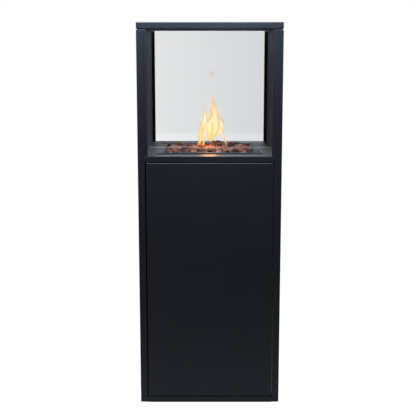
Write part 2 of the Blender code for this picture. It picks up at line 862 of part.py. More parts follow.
# A hollow round head whose mixing tube drops through the tray, with gas ports round its rim.
def burner_head():
    outer = BURNER_DIAMETER / 2
    inner = outer - BURNER_WALL
    tube_outer = MIXING_TUBE_DIAMETER / 2
    tube_inner = tube_outer - BURNER_WALL * 0.7
    height = BURNER_HEIGHT
    drop = -MIXING_TUBE_DROP
    profile = [
        (0, height),
        (outer * 0.75, height),
        (outer, height * 0.7),
        (outer, 0),
        (tube_outer, 0),
        (tube_outer, drop),
        (tube_inner, drop),
        (tube_inner, BURNER_WALL),
        (inner, BURNER_WALL),
        (inner, height * 0.6),
        (outer * 0.7, height - BURNER_WALL),
        (0, height - BURNER_WALL),
    ]
    place = Vector((0, 0, TRAY_FLOOR + FIT))
    obj = turned("burner_head", "cast_iron", profile, place, FINE)
    for i in range(BURNER_PORTS):
        angle = 2 * math.pi * (i + 0.5) / BURNER_PORTS
        port = hole(f"burner_port_{i}", place, PORT_DIAMETER, 2 * PIERCE, "X", SMALL)
        reach = outer - BURNER_WALL / 2
        port.location = place + Vector((reach * math.cos(angle), reach * math.sin(angle), height * 0.4))
        port.rotation_euler = (0, 0, angle)
        cut(obj, port)
    air = place + Vector((0, 0, drop + AIR_PORT_DIAMETER * 1.6))
    cut(obj, hole("burner_air_ports", air, AIR_PORT_DIAMETER, MIXING_TUBE_DIAMETER * 1.5, "X", SMALL))
    return obj


# The plug that closes the mixing tube's foot and carries the drilled jet.
def gas_jet():
    plug = MIXING_TUBE_DIAMETER / 2 - BURNER_WALL * 0.7 - FIT
    stub = JET_STUB_DIAMETER / 2
    bore = JET_BORE / 2
    nipple_top = JET_PLUG_LENGTH + JET_NIPPLE_LENGTH
    profile = [
        (stub * 0.6, nipple_top),
        (stub * 0.8, JET_PLUG_LENGTH),
        (plug, JET_PLUG_LENGTH),
        (plug, 0.0),
        (stub, 0.0),
        (stub, -JET_STUB_LENGTH),
        (bore, -JET_STUB_LENGTH),
        (bore, nipple_top),
    ]
    foot = TRAY_FLOOR + FIT - MIXING_TUBE_DROP
    return turned("gas_jet", "brass", profile, (0, 0, foot), SMALL, closed=True)


def pilot_probes():
    return (
        ("spark_electrode", -PILOT_SPREAD / 2, CERAMIC_DIAMETER),
        ("thermocouple", PILOT_SPREAD / 2, PROBE_DIAMETER),
    )


# A small bracket welded to the tray, whose shelf holds both probes beside the burner.
def pilot_bracket():
    shelf = TRAY_FLOOR + PILOT_SHELF_HEIGHT
    x = PILOT_FROM_CENTRE
    heel = x + CERAMIC_DIAMETER * 1.2
    line = [(heel, TRAY_FLOOR - THIN_SHEET / 2), (heel, shelf), (x - CERAMIC_DIAMETER, shelf)]
    half = PILOT_SPREAD / 2 + CERAMIC_DIAMETER
    return folded_strip("pilot_bracket", None, line, "Y", -half, half, THIN_SHEET)


# The spark electrode and the thermocouple, side by side through the shelf and the tray.
# Returns the height of their tails, where their leads start.
def pilot():
    shelf = TRAY_FLOOR + PILOT_SHELF_HEIGHT
    x = PILOT_FROM_CENTRE
    tail = TRAY_FLOOR - THIN_SHEET - PROBE_TAIL
    tip = GRATE_TOP - THIN_SHEET - PROBE_TIP_GAP
    ceramic = CERAMIC_DIAMETER / 2
    wire = LEAD_DIAMETER / 2
    spark_profile = [
        (0, tip),
        (wire * 0.7, tip),
        (wire * 0.7, shelf + CERAMIC_ABOVE_SHELF + CERAMIC_TAPER),
        (ceramic, shelf + CERAMIC_ABOVE_SHELF),
        (ceramic, tail + CERAMIC_TAPER),
        (wire, tail),
        (0, tail),
    ]
    probe = PROBE_DIAMETER / 2
    probe_profile = [
        (0, tip),
        (probe * 0.6, tip - PROBE_DIAMETER * 0.2),
        (probe, tip - PROBE_DIAMETER * 1.3),
        (probe, tail),
        (0, tail),
    ]
    turned("spark_electrode", "ceramic", spark_profile, (x, -PILOT_SPREAD / 2, 0), SMALL)
    turned("thermocouple", "stainless", probe_profile, (x, PILOT_SPREAD / 2, 0), SMALL)
    return tail - FIT


# ---- cap


def cap_shell():
    return pan(
        "cap_shell",
        "powder_coat",
        (-HALF_W, HALF_W),
        (-HALF_D, HALF_D),
        (HEIGHT - CAP_HEIGHT, HEIGHT),
        (0, 0, -1),
        SHEET,
        FOLD_RADIUS,
        3,
    )


# The plate that closes the cap from below, with four bosses that stand it off the side panels
# and a skirt folded down all round it, just inside the cap's walls.
def cap_liner():
    reach_w = INNER_W - FOLD_CLEARANCE
    reach_d = INNER_D - FOLD_CLEARANCE
    low = HEIGHT - CAP_HEIGHT
    obj = block(
        "cap_liner",
        "liner_steel",
        (-reach_w, reach_w),
        (-reach_d, reach_d),
        (low, low + THIN_SHEET),
    )
    x = HALF_W - POST_WIDTH / 2
    y = HALF_D / 2
    bottom = POST_TOP + FIT
    for i, (sx, sy) in enumerate(((-1, -1), (1, -1), (-1, 1), (1, 1))):
        centre = (sx * x, sy * y, (bottom + low) / 2 + THIN_SHEET / 4)
        height = low - bottom + THIN_SHEET / 2
        weld_on(obj, bar(f"cap_boss_{i}", None, centre, POST_WIDTH * 0.6, height, "Z", SMALL))
    z = (bottom, low + THIN_SHEET / 2)
    skirt_w = HALF_W - SHEET - SKIRT_PLAY
    skirt_d = HALF_D - SHEET - SKIRT_PLAY
    inside_w = skirt_w - THIN_SHEET
    inside_d = skirt_d - THIN_SHEET
    skirt = block("cap_skirt", None, (-skirt_w, skirt_w), (-skirt_d, skirt_d), z)
    inside = (z[0] - PIERCE, z[1] + PIERCE)
    cut(skirt, block("skirt_inside", None, (-inside_w, inside_w), (-inside_d, inside_d), inside))
    weld_on(obj, skirt)


# ---- controls


def heat_shield():
    reach_w = INNER_W - FIT
    obj = pan(
        "heat_shield",
        "aluminised",
        (-reach_w, reach_w),
        (CONTROL_BACK, REAR_PANEL_BACK - THIN_SHEET - FIT),
        (SHIELD_TOP - THIN_SHEET, SHIELD_TOP - THIN_SHEET + EDGE_UPTURN),
        (0, 0, 1),
        THIN_SHEET,
    )
    inlet = (0, CONTROL_BACK + VALVE_LENGTH / 2, SHIELD_TOP)
    cut(obj, hole("shield_inlet_hole", inlet, INLET_DIAMETER, 2 * PIERCE, segments=SMALL))
    return obj


def control_plate():
    reach_w = INNER_W - THIN_SHEET - 2 * FIT
    obj = block(
        "control_plate",
        "powder_coat",
        (-reach_w, reach_w),
        (CONTROL_FACE, CONTROL_FACE + THIN_SHEET),
        (SHIELD_TOP - THIN_SHEET, DECK_TOP - THIN_SHEET - FIT),
    )
    for name, x, diameter in (
        ("spindle", 0, SPINDLE_DIAMETER),
        ("igniter", IGNITER_OFFSET, IGNITER_DIAMETER),
    ):
        cut(obj, hole(f"plate_{name}_hole", (x, CONTROL_FACE, CONTROL_Z), diameter, PIERCE, "Y"))
    return obj


def gas_valve():
    half_w = VALVE_WIDTH / 2
    half_h = VALVE_HEIGHT / 2
    body = block(
        "gas_valve",
        "brass",
        (-half_w, half_w),
        (CONTROL_BACK, CONTROL_BACK + VALVE_LENGTH),
        (CONTROL_Z - half_h, CONTROL_Z + half_h),
    )
    inlet_y = CONTROL_BACK + VALVE_LENGTH / 2
    inlet_low = SHIELD_TOP - THIN_SHEET - INLET_DROP
    inlet_length = CONTROL_Z - inlet_low
    inlet_centre = (0, inlet_y, CONTROL_Z - inlet_length / 2)
    weld_on(body, bar("valve_inlet", None, inlet_centre, INLET_DIAMETER, inlet_length, "Z", SMALL))
    bore = (0, CONTROL_BACK + SPINDLE_DEPTH / 2, CONTROL_Z)
    cut(body, hole("spindle_bore", bore, SPINDLE_DIAMETER, SPINDLE_DEPTH + 2 * FIT, "Y"))
    return Vector((0, inlet_y, inlet_low))


def valve_spindle_and_knob():
    knob_back = CONTROL_FACE - KNOB_TRAVEL - 4 * FIT
    knob_front = knob_back - KNOB_LENGTH
    axis = Vector((0, knob_back, CONTROL_Z))
    spindle_end = SPINDLE_DEPTH - KNOB_TRAVEL - FIT
    spindle_back = CONTROL_BACK + spindle_end - knob_back
    socket = KNOB_LENGTH * 0.55
    r = SPINDLE_DIAMETER / 2
    profile = [(0, socket - FIT), (r, socket - FIT), (r, -spindle_back), (0, -spindle_back)]
    spindle = turned("valve_spindle", "zinc_steel", profile, axis, ROUND)
    grip = KNOB_DIAMETER / 2
    hub = r + HOLE_CLEARANCE
    knob_profile = [
        (0, KNOB_LENGTH),
        (grip * 0.72, KNOB_LENGTH),
        (grip * 0.80, KNOB_LENGTH * 0.92),
        (grip * 0.86, KNOB_LENGTH * 0.30),
        (grip, KNOB_LENGTH * 0.22),
        (grip, 0),
        (hub, 0),
        (hub, socket),
        (0, socket),
    ]
    knob = turned("control_knob", "black_plastic", knob_profile, axis, ROUND)
    ridge = block(
        "knob_ridge",
        None,
        (-KNOB_LENGTH * 0.16, KNOB_LENGTH * 0.16),
        (knob_front - KNOB_LENGTH * 0.14, knob_front + KNOB_LENGTH * 0.4),
        (CONTROL_Z - grip * 0.4, CONTROL_Z + grip * 0.8),
    )
    weld_on(knob, ridge)
    for piece in (spindle, knob):
        piece.rotation_euler = (math.pi / 2, 0, 0)
    turn_axis = pivot_empty("knob_axis", axis)
    attach(knob, turn_axis)


def igniter():
    place = Vector((IGNITER_OFFSET, CONTROL_FACE - FIT, CONTROL_Z))
    shank = IGNITER_DIAMETER / 2
    bezel = shank * 1.35
    bore = BUTTON_DIAMETER / 2 + HOLE_CLEARANCE
    button_length = BUTTON_SHOWN + BUTTON_HIDDEN
    bore_end = BEZEL_HEIGHT - BUTTON_HIDDEN - BUTTON_TRAVEL - 2 * FIT
    profile = [
        (bore, BEZEL_HEIGHT),
        (bezel * 0.9, BEZEL_HEIGHT),
        (bezel, BEZEL_HEIGHT - BEZEL_CHAMFER),
        (bezel, 0.0),
        (shank, 0.0),
        (shank, -IGNITER_LENGTH),
        (0, -IGNITER_LENGTH),
    ]
    body = turned("igniter_body", "black_plastic", [(0, bore_end), (bore, bore_end), *profile], place)
    r = BUTTON_DIAMETER / 2
    button_profile = [
        (0, 0),
        (r - BUTTON_CHAMFER, 0),
        (r, -BUTTON_CHAMFER),
        (r, -button_length),
        (0, -button_length),
    ]
    button_face = place - Vector((0, BEZEL_HEIGHT + BUTTON_SHOWN, 0))
    button = turned("igniter_button", "red_plastic", button_profile, button_face, ROUND)
    for piece in (body, button):
        piece.rotation_euler = (math.pi / 2, 0, 0)
    return place + Vector((0, IGNITER_LENGTH + FIT, 0))


def tilt_switch():
    size = Vector(TILT_SWITCH_SIZE)
    x = -IGNITER_OFFSET
    y = CONTROL_BACK + THIN_SHEET + size.y
    low = SHIELD_TOP + FIT
    return block(
        "tilt_switch",
        "black_plastic",
        (x - size.x / 2, x + size.x / 2),
        (y - size.y / 2, y + size.y / 2),
        (low, low + size.z),
    )


def supply_pipe():
    start = Vector((0, CONTROL_BACK + VALVE_LENGTH + FIT, CONTROL_Z))
    end = Vector((0, 0, TRAY_FLOOR - MIXING_TUBE_DROP - JET_STUB_LENGTH))
    low = SHIELD_TOP + SUPPLY_PIPE_DIAMETER
    points = [
        start,
        start + Vector((0, 0.020, 0)),
        Vector((0, start.y + 0.050, (start.z + low) / 2)),
        Vector((0, start.y + 0.080, low)),
        Vector((0, -0.030, low)),
        Vector((0, -0.009, low + 0.006)),
        end - Vector((0, 0, 0.010)),
        end,
    ]
    return tube("supply_pipe", "aluminised", smooth_route(points, 3), SUPPLY_PIPE_DIAMETER)


# The spark lead and the thermocouple's tail, from the pilot to the controls.
def pilot_leads(probe_tail, igniter_back):
    spark = Vector((PILOT_FROM_CENTRE, -PILOT_SPREAD / 2, probe_tail))
    probe = Vector((PILOT_FROM_CENTRE, PILOT_SPREAD / 2, probe_tail))
    mid_z = (probe_tail + SHIELD_TOP) / 2
    spark_points = [
        spark,
        spark - Vector((0, 0, 0.008)),
        Vector((PILOT_FROM_CENTRE + 0.006, -0.055, mid_z)),
        Vector((IGNITER_OFFSET, igniter_back.y + 0.030, CONTROL_Z - 0.004)),
        igniter_back + Vector((0, 0.008, 0)),
        igniter_back,
    ]
    valve_side = Vector((VALVE_WIDTH / 2 + FIT, CONTROL_BACK + VALVE_LENGTH * 0.7, CONTROL_Z))
    probe_points = [
        probe,
        probe - Vector((0, 0, 0.008)),
        Vector((PILOT_FROM_CENTRE - 0.008, -0.020, mid_z - 0.006)),
        Vector((0.062, -0.095, mid_z - 0.002)),
        valve_side + Vector((0.022, 0, 0)),
        valve_side,
    ]
    tube("ignition_lead", "black_plastic", smooth_route(spark_points, 4), LEAD_DIAMETER)
    tube("thermocouple_lead", "brass", smooth_route(probe_points, 4), LEAD_DIAMETER)


# ---- gas bottle


# A hollow welded bottle with a foot ring, open at the neck where the valve screws in.
def gas_bottle():
    r = BOTTLE_DIAMETER / 2
    dome_height = r * DOME_SHARE
    shoulder = BOTTLE_SHOULDER - dome_height
    low = BOTTLE_FOOT_HEIGHT + dome_height * 0.55
    neck = NECK_DIAMETER / 2
    bore = NECK_BORE / 2
    foot = BOTTLE_FOOT_DIAMETER / 2
    wall = BOTTLE_WALL
    steps = 4

    def arc(radius, height, base, upwards):
        angles = [math.pi / 2 * i / steps for i in range(1, steps)]
        points = [(radius * math.cos(a), base + height * math.sin(a)) for a in angles]
        return points if upwards else points[::-1]

    inner_top = arc(r - wall, dome_height - 3 * wall, shoulder, True)
    outer_top = arc(r, dome_height - 2 * wall, shoulder, False)
    inner_low = [(x, 2 * low - z) for x, z in arc(r - wall, dome_height * 0.8 - wall, low, False)]
    outer_low = [(x, 2 * low - z) for x, z in arc(r, dome_height * 0.8, low, True)]
    profile = [
        (0, low - dome_height * 0.8 + wall),
        *inner_low,
        (r - wall, low),
        (r - wall, shoulder),
        *[p for p in inner_top if p[0] > bore * 1.4],
        (bore, BOTTLE_SHOULDER - 3 * wall),
        (bore, BOTTLE_SHOULDER),
        (neck, BOTTLE_SHOULDER),
        (neck, BOTTLE_SHOULDER - 2 * wall),
        *[p for p in outer_top if p[0] > neck * 1.4],
        (r, shoulder),
        (r, low),
        *[p for p in outer_low if p[0] > foot],
        (foot, BOTTLE_FOOT_HEIGHT * 0.7),
        (foot, 0),
        (foot - wall, 0),
        (foot - wall, BOTTLE_FOOT_HEIGHT * 0.7),
        *[p for p in outer_low if p[0] < foot - wall],
        (0, low - dome_height * 0.8),
    ]
    return turned("gas_bottle", "bottle_paint", profile, BOTTLE, FINE)


# The guard ring on the bottle's shoulder, open in front of the valve and at the back.
def bottle_collar():
    r = COLLAR_DIAMETER / 2
    shoulder_radius = BOTTLE_DIAMETER / 2
    dome_height = shoulder_radius * DOME_SHARE
    rise = math.sqrt(1 - (r / shoulder_radius) ** 2) * (dome_height - 2 * BOTTLE_WALL)
    low = BOTTLE_SHOULDER - dome_height + rise + FIT
    inner = r - COLLAR_SHEET
    profile = [(r, COLLAR_TOP), (r, low), (inner, low + COLLAR_SHEET), (inner, COLLAR_TOP)]
    collar = turned("bottle_collar", "bottle_paint", profile, BOTTLE, FINE, closed=True)
    half = COLLAR_WINDOW / 2
    window = block(
        "collar_window",
        None,
        (-half, half),
        (BOTTLE.y - COLLAR_DIAMETER, BOTTLE.y),
        (BOTTLE.z + low + COLLAR_RIM, BOTTLE.z + COLLAR_TOP - COLLAR_RIM),
    )
    grip_top = BOTTLE.z + COLLAR_TOP - COLLAR_GRIP_FROM_TOP
    grip = block(
        "collar_grip",
        None,
        (-half * 0.8, half * 0.8),
        (BOTTLE.y, BOTTLE.y + COLLAR_DIAMETER),
        (grip_top - COLLAR_GRIP_HEIGHT, grip_top),
    )
    cut(collar, window, grip)


# The bottle's valve, its handwheel, and the regulator on its outlet. Returns the regulator's
# outlet, where the hose starts.
def bottle_fittings():
    neck = BOTTLE + Vector((0, 0, BOTTLE_SHOULDER))
    body = BOTTLE_VALVE_DIAMETER / 2
    plug = NECK_BORE / 2 - HOLE_CLEARANCE
    stem = SPINDLE_DIAMETER / 2
    height = BOTTLE_VALVE_HEIGHT
    profile = [
        (0, height + HANDWHEEL_HEIGHT * 0.7),
        (stem, height + HANDWHEEL_HEIGHT * 0.7),
        (stem, height),
        (body * 0.8, height),
        (body, height * 0.75),
        (body, FIT),
        (plug, FIT),
        (plug, -3 * BOTTLE_WALL),
        (0, -3 * BOTTLE_WALL),
    ]
    valve = turned("bottle_valve", "brass", profile, neck, ROUND)
    outlet_z = neck.z + OUTLET_ABOVE_NECK
    outlet_end = neck.y - OUTLET_REACH
    outlet = (0, (neck.y + outlet_end) / 2, outlet_z)
    weld_on(valve, bar("valve_outlet", None, outlet, OUTLET_DIAMETER, OUTLET_REACH, "Y"))

    grip = HANDWHEEL_DIAMETER / 2
    hub = stem + HOLE_CLEARANCE
    wheel_profile = [
        (0, HANDWHEEL_HEIGHT),
        (grip * 0.85, HANDWHEEL_HEIGHT),
        (grip, HANDWHEEL_HEIGHT * 0.75),
        (grip, HANDWHEEL_HEIGHT * 0.2),
        (grip * 0.9, 0),
        (hub, 0),
        (hub, HANDWHEEL_HEIGHT * 0.75),
        (0, HANDWHEEL_HEIGHT * 0.75),
    ]
    wheel_place = neck + Vector((0, 0, height + FIT))
    wheel = turned("handwheel", "black_plastic", wheel_profile, wheel_place, ROUND)
    for i in range(6):
        angle = 2 * math.pi * i / 6
        reach = grip * 1.16
        spot = wheel_place + Vector((reach * math.cos(angle), reach * math.sin(angle), 0))
        cut(wheel, bar(f"wheel_scallop_{i}", None, spot, grip * 0.6, HANDWHEEL_HEIGHT * 3, "Z", SMALL))

    nut_back = outlet_end + NUT_LENGTH * 0.4
    nut = bar(
        "regulator_nut",
        "brass",
        (0, nut_back - NUT_LENGTH / 2, outlet_z),
        NUT_DIAMETER,
        NUT_LENGTH,
        "Y",
        6,
    )
    nut_centre = (0, nut_back - NUT_LENGTH / 2, outlet_z)
    cut(nut, hole("nut_bore", nut_centre, OUTLET_DIAMETER, NUT_LENGTH * 1.5, "Y"))

    centre = Vector((0, outlet_end - REGULATOR_FROM_OUTLET, outlet_z))
    r = REGULATOR_DIAMETER / 2
    half = REGULATOR_HEIGHT / 2
    shell = [
        (0, half * 1.3),
        (r * 0.55, half * 1.25),
        (r * 0.80, half * 0.6),
        (r, half * 0.35),
        (r, -half * 0.35),
        (r * 0.75, -half),
        (0, -half),
    ]
    regulator = turned("regulator", "regulator_grey", shell, centre, ROUND)
    inlet_length = REGULATOR_FROM_OUTLET - FIT
    inlet = (0, outlet_end - FIT - inlet_length / 2, outlet_z)
    side = Vector((r + HOSE_TAIL, centre.y, outlet_z))
    tail = (side.x / 2, centre.y, outlet_z)
    weld_on(
        regulator,
        bar("regulator_inlet", None, inlet, OUTLET_DIAMETER - 2 * FIT, inlet_length, "Y", SMALL),
        bar("regulator_tail", None, tail, HOSE_DIAMETER, side.x, "X", SMALL),
    )
    return side + Vector((FIT, 0, 0))


# The hose from the regulator up to the gas valve's inlet, along the route it is tied to.
def gas_hose(start, end):
    points = [
        start,
        start + Vector((0.018, 0, 0)),
        Vector((0.112, -0.086, 0.530)),
        Vector((0.146, -0.108, 0.575)),
        Vector((0.140, -0.138, 0.640)),
        Vector((0.092, -0.160, 0.690)),
        Vector((0.034, -0.172, 0.712)),
        end - Vector((0, 0, 0.022)),
        end,
    ]
    return tube("gas_hose", "hose_rubber", smooth_route(points, 4), HOSE_DIAMETER)


# ---- assembly


def build_heater():
    side_panel("side_panel_left", -1)
    side_panel("side_panel_right", 1)
    lower_rail = rail("front_rail_lower", -1, FOOT_LIFT, False)
    upper_rail = rail("front_rail_upper", -1, UPPER_RAIL_LOW, True)
    rail("rear_rail_lower", 1, FOOT_LIFT, False)
    rail("rear_rail_upper", 1, UPPER_RAIL_LOW, True)
    base_pan()
    feet()
    panel = rear_panel()

    door_axis = pivot_empty("door_axis", PIVOT)
    door_pieces = [door_skin(), door_liner()]
    door_pivot("lower", lower_rail, LOWER_RAIL_HIGH, 1)
    door_pivot("upper", upper_rail, UPPER_RAIL_LOW, -1)
    strike_strip()
    door_pieces.append(push_latch())
    for piece in door_pieces:
        attach(piece, door_axis)

    chamber_liner("chamber_liner_left", -1)
    chamber_liner("chamber_liner_right", 1)
    for end, front in (("front", -1), ("rear", 1)):
        glass_channel(f"glass_channel_{end}_left", -1, front)
        glass_channel(f"glass_channel_{end}_right", 1, front)
        pane(f"{end}_glass", front)
    deck_plate()
    burner_tray()
    stone_grate()
    lava_bed()
    burner_head()
    gas_jet()
    probe_tail = pilot()
    cap_shell()
    cap_liner()

    rear_screws(panel, heat_shield())
    control_plate()
    hose_end = gas_valve()
    valve_spindle_and_knob()
    igniter_back = igniter()
    tilt_switch()
    supply_pipe()
    pilot_leads(probe_tail, igniter_back)

    gas_bottle()
    bottle_collar()
    hose_start = bottle_fittings()
    gas_hose(hose_start, hose_end - Vector((0, 0, FIT)))


build_heater()
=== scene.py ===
# Looks of an outdoor gas fire column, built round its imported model.
import math

import bpy
import numpy as np
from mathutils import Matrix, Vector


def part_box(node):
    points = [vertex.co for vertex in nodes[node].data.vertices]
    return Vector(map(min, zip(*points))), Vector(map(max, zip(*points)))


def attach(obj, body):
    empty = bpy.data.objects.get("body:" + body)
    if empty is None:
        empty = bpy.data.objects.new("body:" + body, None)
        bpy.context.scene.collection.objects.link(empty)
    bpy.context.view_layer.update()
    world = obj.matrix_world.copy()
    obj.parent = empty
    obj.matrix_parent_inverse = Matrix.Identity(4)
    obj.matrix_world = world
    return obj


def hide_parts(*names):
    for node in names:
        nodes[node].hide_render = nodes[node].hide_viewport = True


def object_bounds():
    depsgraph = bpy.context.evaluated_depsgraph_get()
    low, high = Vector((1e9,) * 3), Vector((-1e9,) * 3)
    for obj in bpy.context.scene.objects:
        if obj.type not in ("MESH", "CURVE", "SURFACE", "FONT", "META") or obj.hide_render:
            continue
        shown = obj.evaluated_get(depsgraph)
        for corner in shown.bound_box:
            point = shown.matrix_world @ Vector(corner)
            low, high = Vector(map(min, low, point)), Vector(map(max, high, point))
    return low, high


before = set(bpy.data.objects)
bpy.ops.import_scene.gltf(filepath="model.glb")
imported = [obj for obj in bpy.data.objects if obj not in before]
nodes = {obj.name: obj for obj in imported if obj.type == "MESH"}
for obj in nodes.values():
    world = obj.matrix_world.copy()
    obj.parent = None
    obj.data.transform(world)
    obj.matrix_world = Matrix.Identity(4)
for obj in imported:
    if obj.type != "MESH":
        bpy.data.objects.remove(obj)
cadBox = [[float(value) for value in corner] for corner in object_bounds()]
scene = bpy.context.scene
scene.view_settings.view_transform = "Standard"
scene.cycles.transparent_max_bounces = 32
print("loaded", len(nodes), "nodes")

# ---- camera, floor and light

cameraSetup = {
    "distance": 3.2,  # lens to the front face of the heater
    "eyeHeight": 1.335,
    "sideways": -0.0064,
    "tiltDown": 10.47,  # degrees
    "lens": 78.2,
}


def makeCamera(setup):
    data = bpy.data.cameras.new("studioCamera")
    data.lens = setup["lens"]
    data.dof.use_dof = False
    data.clip_end = 200
    camera = bpy.data.objects.new("studioCamera", data)
    scene.collection.objects.link(camera)
    camera.location = (setup["sideways"], cadBox[0][1] - setup["distance"], setup["eyeHeight"])
    camera.rotation_euler = (math.radians(90 - setup["tiltDown"]), 0, 0)
    scene.camera = camera


def feed(tree, socket, term):
    if isinstance(term, bpy.types.NodeSocket):
        tree.links.new(term, socket)
    else:
        socket.default_value = term


def calc(tree, operation, *terms, clamp=False):
    node = tree.nodes.new("ShaderNodeMath")
    node.operation = operation
    node.use_clamp = clamp
    for socket, term in zip(node.inputs, terms):
        feed(tree, socket, term)
    return node.outputs[0]


def rescale(tree, value, low, high, toLow, toHigh):
    # straight-line map of low..high onto toLow..toHigh, held at its ends
    node = tree.nodes.new("ShaderNodeMapRange")
    node.clamp = True
    for socket, term in zip(node.inputs[:5], (value, low, high, toLow, toHigh)):
        feed(tree, socket, term)
    return node.outputs[0]


def mixColour(tree, share, first, second):
    node = tree.nodes.new("ShaderNodeMix")
    node.data_type = "RGBA"
    feed(tree, node.inputs[0], share)
    for socket, term in ((node.inputs[6], first), (node.inputs[7], second)):
        feed(tree, socket, term if isinstance(term, bpy.types.NodeSocket) else (*term[:3], 1))
    return node.outputs[2]


def ramp(tree, value, *stops):
    # colours along a value, each stop a place and a colour
    node = tree.nodes.new("ShaderNodeValToRGB")
    points = node.color_ramp.elements
    while len(points) < len(stops):
        points.new(0.5)
    for point, (place, colour) in zip(points, stops):
        point.position = place
        point.color = (*colour[:3], 1)
    feed(tree, node.inputs[0], value)
    return node.outputs[0]


def objectPoint(tree, scale=(1, 1, 1)):
    place = tree.nodes.new("ShaderNodeTexCoord").outputs["Object"]
    node = tree.nodes.new("ShaderNodeMapping")
    tree.links.new(place, node.inputs["Vector"])
    node.inputs["Scale"].default_value = scale
    return node.outputs[0]


def splitPoint(tree, vector):
    # the x, y and z of a vector
    node = tree.nodes.new("ShaderNodeSeparateXYZ")
    feed(tree, node.inputs[0], vector)
    return node.outputs


def noise(tree, vector, pitch, detail=2.0, roughness=0.5):
    node = tree.nodes.new("ShaderNodeTexNoise")
    feed(tree, node.inputs["Vector"], vector)
    feed(tree, node.inputs["Scale"], pitch)
    node.inputs["Detail"].default_value = detail
    node.inputs["Roughness"].default_value = roughness
    return node.outputs["Fac"]


def seenDirectly(tree):
    # 1 for what the lens sees, straight or through panes, and 0 after any bounce
    path = tree.nodes.new("ShaderNodeLightPath")
    bounces = calc(tree, "ADD", path.outputs["Diffuse Depth"], path.outputs["Glossy Depth"])
    return calc(tree, "LESS_THAN", bounces, 0.5)


floorLook = {
    "reach": 400.0,
    "paint": (0.36, 0.33, 0.31),
    "lift": (0.95, 1.0),  # light added to what the lens sees, by the object and far off
    "fade": (0.5, 2.0),
    "bounce": 0.15,  # what the gloss sees of the floor far behind the heater
    "behind": (1.0, 4.0),  # where that light starts and is full
    "glint": (0.76, 0.79, 0.93),
    "pool": (0.35, 1.3, 0.10),  # from, to and strength of the light thrown up round its foot
}


def makeFloor(look):
    half = look["reach"] / 2
    corners = [(-half, -half, 0), (half, -half, 0), (half, half, 0), (-half, half, 0)]
    mesh = bpy.data.meshes.new("studioFloor")
    mesh.from_pydata(corners, [], [(0, 1, 2, 3)])
    material = bpy.data.materials.new("paleFloor")
    material.use_nodes = True
    tree = material.node_tree
    shader = tree.nodes["Principled BSDF"]
    shader.inputs["Roughness"].default_value = 0.9
    shader.inputs["Specular IOR Level"].default_value = 0.1
    direct = seenDirectly(tree)
    feed(tree, shader.inputs["Emission Color"], mixColour(tree, direct, look["glint"], (1, 1, 1)))
    length = tree.nodes.new("ShaderNodeVectorMath")
    length.operation = "LENGTH"
    feed(tree, length.inputs[0], objectPoint(tree))
    distance = length.outputs["Value"]
    away = rescale(tree, distance, *look["fade"], 0, 1)
    feed(tree, shader.inputs["Base Color"], mixColour(tree, away, look["paint"], (0, 0, 0)))
    lift = rescale(tree, distance, *look["fade"], *look["lift"])
    depth = splitPoint(tree, objectPoint(tree))[1]
    bounce = rescale(tree, depth, *look["behind"], 0, look["bounce"])
    near, edge, strength = look["pool"]
    bounce = calc(tree, "MAXIMUM", bounce, rescale(tree, distance, near, edge, strength, 0))
    feed(tree, shader.inputs["Emission Strength"], rescale(tree, direct, 0, 1, bounce, lift))
    mesh.materials.append(material)
    floor = bpy.data.objects.new("studioFloor", mesh)
    scene.collection.objects.link(floor)


skyLook = {
    "overhead": (0.05, 0.06, 0.08),
    "level": (0.012, 0.0125, 0.015),
    "below": (0.03, 0.03, 0.03),
    "behind": (0.38, 0.415, 0.48),  # pale wall at the heater's back, seen in its gloss
    "horizon": (0.48, 0.55),  # 0 straight down, 1 straight up
    "wall": (0.80, 0.97),  # 1 straight back
}


def makeSky(look):
    world = bpy.data.worlds.new("softStudio")
    scene.world = world
    world.use_nodes = True
    tree = world.node_tree
    background = tree.nodes["Background"]
    way = splitPoint(tree, tree.nodes.new("ShaderNodeTexCoord").outputs["Generated"])
    rise = rescale(tree, way[2], -1, 1, 0, 1)
    low, high = look["horizon"]
    around = ramp(tree, rise, (0.0, look["below"]), (low, look["below"]), (high, look["level"]),
                  (1.0, look["overhead"]))
    backward = rescale(tree, way[1], *look["wall"], 0, 1)
    around = mixColour(tree, backward, around, look["behind"])
    feed(tree, background.inputs["Color"], mixColour(tree, seenDirectly(tree), around, (1, 1, 1)))


lamps = {
    "grazingSoftbox": {"at": (-0.20, -0.55, 1.86), "towards": (-0.02, -0.24, 1.20), "size": (1.4, 0.30),
                       "colour": (0.64, 0.79, 1.0), "power": 36},
    "frontSoftbox": {"at": (-1.9, -2.4, 2.4), "towards": (0, 0, 0.8), "size": (1.4, 1.0),
                     "colour": (1.0, 0.97, 0.96), "power": 8},
    "rearSoftbox": {"at": (0.6, 2.2, 2.4), "towards": (0, 0.2, 0.8), "size": (1.4, 1.0),
                    "colour": (0.90, 0.94, 1.0), "power": 26},
}


def placeLamp(name, data, setup):
    data.energy = setup["power"]
    data.color = setup["colour"]
    lamp = bpy.data.objects.new(name, data)
    scene.collection.objects.link(lamp)
    lamp.location = setup["at"]
    lamp.visible_camera = False
    lamp.visible_transmission = False
    return lamp


def makeSoftbox(name, setup):
    data = bpy.data.lights.new(name, "AREA")
    data.shape = "RECTANGLE"
    data.size, data.size_y = setup["size"]
    lamp = placeLamp(name, data, setup)
    x, y, z = np.subtract(setup["towards"], setup["at"])
    lamp.rotation_euler = (math.atan2(math.hypot(x, y), -z), 0, math.atan2(-x, y))


emberGlow = {
    "at": (-0.004, -0.012, 0.968),
    "radius": 0.03,
    "colour": (1.0, 0.40, 0.12),
    "power": 0.26,
}


def makeGlow(setup):
    # warm light of the flame's foot, on the stones and the deck
    data = bpy.data.lights.new("emberGlow", "POINT")
    data.shadow_soft_size = setup["radius"]
    placeLamp("emberGlow", data, setup)


